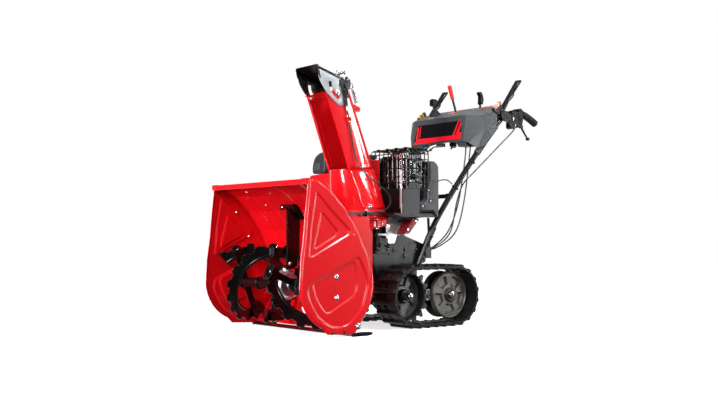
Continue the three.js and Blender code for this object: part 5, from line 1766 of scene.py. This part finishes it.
def console():
    half = CONSOLE_HALF
    rear_top = (CONSOLE_REAR, top_z(CONSOLE_REAR))
    corners = {"a": (half, *FASCIA_HIGH), "b": (half, *FASCIA_LOW), "c": (half + 4, 871, 886),
               "d": (246, 962, 912), "e": (238, 929, 967), "f": (236, 907, 806), "w": (228, 929, 880),
               "g": (200, 890, 832), "h": (262, 1012, 984), "i": (258, 1020, 940), "j": (250, 960, 830),
               "k": (206, 1060, top_z(1060) + 2), "l": (206, *rear_top), "m": (half, *rear_top),
               "n": (206, CONSOLE_REAR + 4, rear_top[1] - 50),
               "o": (half, CONSOLE_REAR + 4, rear_top[1] - 50), "p": (half, 920, 851), "q": (246, 996, 876),
               "r": (230, 940, 800), "s": (228, 1010, top_z(1010) + 4),}
    faces = [("a", "e", "d", "c"), ("c", "d", "w"), ("c", "w", "g", "b"), ("w", "f", "g"), ("d", "f", "w"),
             ("e", "h", "i", "d"), ("d", "i", "q"), ("d", "q", "j"), ("d", "j", "f"), ("a", "m", "k", "s"),
             ("a", "s", "e"), ("e", "s", "h"), ("m", "l", "k"), ("a", "c", "b"), ("h", "s", "k"),
             ("k", "l", "n"), ("h", "k", "n", "i"), ("l", "m", "o", "n"), ("b", "g", "p"), ("g", "f", "r"),
             ("g", "r", "p"), ("f", "j", "r"), ("j", "q", "r"), ("q", "i", "n"), ("q", "n", "r"),
             ("n", "o", "p", "r")]
    wing = facets(corners, faces)
    body = slab([FASCIA_LOW, FASCIA_HIGH, rear_top, (CONSOLE_REAR + 4, rear_top[1] - 50), (920, 851)][::-1],
                "x", -half, half)
    piece("console_shell", [body, wing, mirrored(wing)], GREY_PLASTIC, replaces=["console_cover"], edge=2.2,
          smooth=14)
    skirt = panel([(880, 851), (930, 851), (960, 820), (900, 820)], 5, "x", 120, 180)
    socket = swept(part_of(smooth_line(TUBE_ROUTE, 8), *SOCKET_PART), 16, 24)
    both("console_skirt", [skirt, socket], GREY_PLASTIC, edge=2.0)
    decals()
    top_marks()
    under = [box((60, 80), (900, 930), (826, 852)), box((118, 150), (910, 950), (830, 852)),
             box((-120, -60), (930, 990), (838, 856)), swept([(66, 915, 830), (66, 905, 815)], 5, 10)]
    piece("console_underside", under, BLACK_PLASTIC, edge=1.5)


def on_fascia(x, share, lift):
    """A place on the console's front face: share 0 is its lower edge, 1 its upper."""
    y = lerp(FASCIA_LOW[0], FASCIA_HIGH[0], share) - lift
    return (x, y, lerp(FASCIA_LOW[1], FASCIA_HIGH[1], share))


def patch(outline, low, high):
    """A flat patch on the fascia from (x, share) points."""
    return skin([[on_fascia(x, share, low) for x, share in outline],
                 [on_fascia(x, share, high) for x, share in outline]])


def decals():
    frame = patch([(-162, 0.12), (148, 0.12), (160, 0.4), (146, 0.8), (-146, 0.8), (-156, 0.5)], -1, 1.0)
    piece("fascia_plate", [frame], BLACK_PLASTIC, replaces=["console_panel"], edge=0.5)
    inner = patch([(-118, 0.28), (96, 0.28), (124, 0.78), (-118, 0.78)], 0.8, 1.6)
    piece("fascia_window", [inner], GLOSS_BLACK)
    base = patch([(-164, 0.06), (-140, 0.26), (140, 0.26), (150, 0.36), (164, 0.3), (158, 0.1)], 0.8, 1.9)
    left = patch([(-150, 0.24), (-136, 0.24), (-138, 0.74), (-146, 0.74)], 0.8, 1.9)
    right = patch([(104, 0.26), (118, 0.26), (144, 0.84), (137, 0.84)], 0.8, 1.9)
    wedge = patch([(124, 0.26), (146, 0.3), (156, 0.72), (150, 0.72)], 0.8, 1.7)
    left_wedge = patch([(-128, 0.3), (-122, 0.3), (-124, 0.76), (-130, 0.76)], 0.8, 1.7)
    piece("fascia_stripes", [base, left, right, wedge, left_wedge], DECAL_RED)


def on_top(x, y, lift):
    return (x, y, top_z(y) + lift)


def top_patch(x, y, lift=0.8):
    ring = [(x[0], y[0]), (x[1], y[0]), (x[1], y[1]), (x[0], y[1])]
    return skin([[on_top(a, b, -1) for a, b in ring], [on_top(a, b, lift) for a, b in ring]])


def top_marks():
    slots = [top_patch((-76, -56), (1004, 1096), 1.0), top_patch((94, 116), (1028, 1096), 1.0)]
    piece("lever_slots", slots, GLOSS_BLACK, edge=0.4)
    marks = [top_patch((-50, -40), (1000, 1090), 1.0), top_patch((-36, -20), (1010, 1030), 1.0),
             top_patch((122, 130), (1030, 1090), 1.0), top_patch((82, 88), (1024, 1090), 1.0),
             top_patch((-176, -164), (940, 968), 1.0), top_patch((140, 176), (1070, 1084), 1.0)]
    piece("console_marks", marks, MARK_RED)
    pale = [top_patch((-130, -112), (940, 944), 0.6), top_patch((-112, -108), (940, 966), 0.6),
            top_patch((20, 60), (950, 954), 0.6)]
    piece("console_lines", pale, WIRE_WHITE)


def levers():
    x, y = -66, 1062
    tip = Vector((x, y - 40, 1149))
    neck = Vector((x, y - 16, 1078))
    along = (tip - neck).normalized()
    stem = rod([(x, y, 930), (x, y + 6, 990), (x, y + 4, 1020), neck + along * 4], 5, 5.5, 14)
    hub = turned([(0, 9), (14, 9)], (x - 7, y, 930), OUT, 24)
    piece("shift_stem", [stem, hub], BLACK_PAINT, "shift")
    knob = turned([(0, 6.5), (3, 8.5), (10, 9), (60, 10.5), (68, 10), (71, 7), (72, 0)], neck, along, 28)
    piece("shift_knob", [knob], RED_PLASTIC, "shift", replaces=["shift_lever"])
    x, y = 105, 1064
    blade = box((x - 3, x + 3), (y - 5, y + 5), (950, 1050))
    grip = panel([(y - 7, 1036), (y + 9, 1036), (y + 14, 1060), (y + 8, 1084), (y - 2, 1096),
                  (y - 14, 1096), (y - 13, 1088), (y - 4, 1076), (y - 5, 1056)], 5, "x", x - 11, x + 11, 4)
    hub = turned([(0, 8), (14, 8)], (x - 7, y, 950), OUT, 24)
    piece("throttle_blade", [blade, grip, hub], BLACK_PLASTIC, "throttle", replaces=["throttle_lever"],
          edge=2.5, segments=3)
    x, y = -150, 1008
    seat = top_z(y)
    boot = turned([(0, 30), (4, 30), (10, 24), (14, 25), (18, 18), (22, 19), (26, 12), (30, 10)],
                  (x, y, seat - 2), (0, -0.1, 1), 32)
    stem = swept([(x, y, seat), (x, y - 12, seat + 56)], 7.5, 16)
    head = panel([(x - 15, seat + 46), (x + 15, seat + 46), (x + 16, seat + 76), (x + 8, seat + 82),
                  (x - 8, seat + 82), (x - 16, seat + 76)], 5, "y", y - 26, y - 2, 4)
    piece("joystick_stem", [stem, head], BLACK_PLASTIC, "joystick", replaces=["chute_joystick"], edge=3,
          segments=3)
    piece("joystick_boot", [boot], GRIP_RUBBER, "joystick", smooth=60)


# ---------------------------------------------------------------- hand levers


def brackets():
    x = HAND_X
    hub = panel([(1034, 985), (1066, 990), (1114, 966), (1150, 966), (1152, 930), (1120, 908), (1104, 912),
                 (1084, 936), (1050, 940), (1034, 956)], 8, "x", x + 14, x + 22, 4)
    body = panel([(1104, 912), (1122, 906), (1152, 930), (1154, 990), (1108, 992)], 8, "x", x - 18, x + 20, 4)
    clamp = panel([(1148, 914), (1176, 922), (1184, 960), (1182, 1004), (1152, 1006)], 7, "x", x - 21,
                  x + 21, 4)
    ribs = [panel([(1158, 918), (1166, 918), (1170, 1008), (1162, 1008)], 2, "x", x - 22.5, x + 22.5)]
    both("control_housing", [hub, body, clamp, *ribs], BLACK_PLASTIC, node="lever_bracket", edge=2.0,
         segments=3)
    dots = bolt((x + 22, 1116, 956), OUT, 5) + bolt((x + 22, 1130, 926), OUT, 4)
    both("control_screws", dots, BRIGHT_METAL)


def paddles():
    x = HAND_X
    y, z = 1046, 976
    blade = rounded([(y - 8, z + 2), (y + 4, z - 8), (1092, 1034), (1114, 1052), (1130, 1070), (1130, 1080),
                     (1182, 1140), (1180, 1147), (1168, 1147)], 4, 4)
    hub = turned([(0, 10), (2, 12), (30, 12), (32, 10)], (x - 16, y, z), OUT, 28)
    tail = panel([(988, 996), (992, 982), (1036, 966), (1052, 972), (1054, 992), (1034, 1034)], 4, "x",
                 x + 1, x + 13, 4)
    bodies = ("left_paddle", "right_paddle")
    both("paddle_blade", [slab(blade, "x", x - 14, x + 14), tail, hub], BLACK_PLASTIC, bodies,
         slot="black_paint", node="clutch_paddle", edge=2.0, segments=3)
    face = slab([(1092, 1040), (1108, 1054), (1122, 1072), (1122, 1084), (1164, 1132), (1158, 1132)], "x",
                x - 14.6, x + 14.6)
    both("paddle_face", [face], PADDLE_GREY, bodies, edge=1.0)

    def sticker(start, end, reach):
        base = Vector((0, 987, 994))
        along = (Vector((0, 1168, 1147)) - base).normalized()
        side = Vector((0, -along.z, along.y))
        a, b = base + along * start, base + along * end
        near = [(x, *(p + side * reach).yz) for p in (a, b)]
        far = [(x + 14, *(p + side * reach).yz) for p in (a, b)]
        low = [(x, *(p - side * 12).yz) for p in (a, b)]
        low_far = [(x + 14, *(p - side * 12).yz) for p in (a, b)]
        return skin([[low[0], low_far[0], far[0], near[0]], [low[1], low_far[1], far[1], near[1]]])

    piece("left_paddle_sticker", [sticker(8, 34, 2.5), sticker(40, 52, 2.5)], ORANGE, "left_paddle")
    piece("left_paddle_label", [sticker(34, 40, 2.6)], WIRE_WHITE, "left_paddle")
    piece("right_paddle_sticker", [mirrored(sticker(8, 22, 2.5)), mirrored(sticker(30, 40, 2.5))],
          WIRE_YELLOW, "right_paddle")
    piece("right_paddle_label", [mirrored(sticker(22, 30, 2.5))], GLOSS_BLACK, "right_paddle")


def triggers():
    x, y, z = HAND_X, 1190, 924
    hub = turned([(0, 6), (2, 7.5), (18, 7.5), (20, 6)], (x - 10, y, z), OUT, 24)
    stem = swept([(x, y, z), (x, 1214, 894), (x, 1238, 868)], [5.5, 4.6, 4.2], 14)
    foot = turned([(0, 6), (2, 7.5), (14, 7.5), (16, 6)], (x - 8, 1238, 868), OUT, 24)
    both("trigger_lever", [hub, stem, foot], BLACK_PLASTIC, ("left_trigger", "right_trigger"),
         node="steering_trigger", edge=1.0)


handlebars()
cables()
console()
levers()
brackets()
paddles()
triggers()

# ---------------------------------------------------------------- floor, light and camera


FLOOR_WHITE = (0.8, 0.8, 0.8)
FLOOR_GLOW = 0.68
FLOOR_LENGTH = 80                                # metres, as are the two half widths
FLOOR_NEAR_HALF = 1.2
FLOOR_FAR_HALF = 45
WALL_LEAN = -0.6                                 # the white wall's middle lies this far below the level
WALL_EDGE = (0.6, 0.75)                          # where the wall fades out, as cosines from its middle
STUDIO_DARK = (0.1, 0.1, 0.105, 1)
SUN_DIRECTION = (-0.44, 0.78, -0.4)
SUN_STRENGTH = 2.3
SUN_ANGLE = 20
# Each softbox: its name, place, what it faces, its size in metres and its power in watts.
SOFTBOXES = (
    ("overhead", (0.0, 0.2, 3.4), (0.0, 0, 0), (1.4, 1.4), 70),
    ("side", (2.25, 0.35, 2.6), (0.36, -0.5, 0.3), (0.5, 0.5), 42),
    ("front", (-0.2, -4.6, 0.75), (0, -0.2, 0.5), (1.2, 1.3), 200),
    ("rear_strip", (2.36, 1.96, 1.0), (0.1, -0.3, 0.8), (0.16, 2.4), 45),
    ("side_fill", (4.3, -0.5, 0.6), (0.2, 0.3, 0.2), (1.0, 0.8), 34),
)


def stage():
    """A white floor as wide as the camera's view, which glows a little so that its shadows stay soft."""
    back = Vector((math.sin(CAMERA_AZIMUTH), -math.cos(CAMERA_AZIMUTH), 0))
    right = Vector((math.cos(CAMERA_AZIMUTH), math.sin(CAMERA_AZIMUTH), 0))
    near, far = Vector(CAMERA_PLACE), Vector(CAMERA_PLACE) - back * FLOOR_LENGTH
    near.z = far.z = 0
    corners = [near - right * FLOOR_NEAR_HALF, near + right * FLOOR_NEAR_HALF,
               far + right * FLOOR_FAR_HALF, far - right * FLOOR_FAR_HALF]
    mesh = bpy.data.meshes.new("floor")
    mesh.from_pydata([tuple(c) for c in corners], [], [(0, 1, 2, 3)])
    paper = looks("floor", FLOOR_WHITE, 0.8, darker=0.995, lighter=1.0, patch=0.5, specular=0.05)
    shader = paper.node_tree.nodes["Principled BSDF"]
    shader.inputs["Emission Color"].default_value = (1, 1, 1, 1)
    shader.inputs["Emission Strength"].default_value = FLOOR_GLOW
    mesh.materials.append(paper)
    floor = placed("floor", mesh)
    floor.visible_glossy = False
    floor.visible_diffuse = False


def facing(direction):
    """The turn that points a lamp or a camera in a direction."""
    return Vector(direction).to_track_quat("-Z", "Y").to_euler()


def softbox(name, place, target, size, power):
    light = bpy.data.lights.new(name, "AREA")
    light.shape = "RECTANGLE"
    light.size, light.size_y = size
    light.energy = power
    thing = placed(name, light)
    thing.location = place
    thing.rotation_euler = facing(Vector(target) - Vector(place))


def sun(name, direction, strength, angle):
    light = bpy.data.lights.new(name, "SUN")
    light.energy = strength
    light.angle = math.radians(angle)
    placed(name, light).rotation_euler = facing(direction)


def sky():
    """A studio: a white wall behind the machine, dim round the rest and overhead."""
    world = bpy.data.worlds.new("studio")
    bpy.context.scene.world = world
    world.use_nodes = True
    nodes = world.node_tree.nodes
    links = world.node_tree.links
    background = nodes["Background"]
    place = nodes.new("ShaderNodeTexCoord")
    ahead = nodes.new("ShaderNodeVectorMath")
    ahead.operation = "DOT_PRODUCT"
    ahead.inputs[1].default_value = (-math.sin(CAMERA_AZIMUTH), math.cos(CAMERA_AZIMUTH), WALL_LEAN)
    ramp = nodes.new("ShaderNodeValToRGB")
    links.new(place.outputs["Generated"], ahead.inputs[0])
    links.new(ahead.outputs["Value"], ramp.inputs["Fac"])
    links.new(ramp.outputs["Color"], background.inputs["Color"])
    low, high = ramp.color_ramp.elements
    low.position, low.color = WALL_EDGE[0], STUDIO_DARK
    high.position, high.color = WALL_EDGE[1], (1, 1, 1, 1)
    background.inputs["Strength"].default_value = 1.0


def camera():
    data = bpy.data.cameras.new("camera")
    data.lens = CAMERA_LENS
    data.sensor_width = SENSOR_WIDTH
    data.clip_end = 300
    thing = placed("camera", data)
    back = Vector((math.sin(CAMERA_AZIMUTH) * math.cos(CAMERA_PITCH),
                   -math.cos(CAMERA_AZIMUTH) * math.cos(CAMERA_PITCH), math.sin(CAMERA_PITCH)))
    thing.location = CAMERA_PLACE
    thing.rotation_euler = facing(-back)
    bpy.context.scene.camera = thing


stage()
sky()
camera()
sun("key", SUN_DIRECTION, SUN_STRENGTH, SUN_ANGLE)
for softbox_facts in SOFTBOXES:
    softbox(*softbox_facts)
bpy.context.scene.view_settings.view_transform = "Standard"
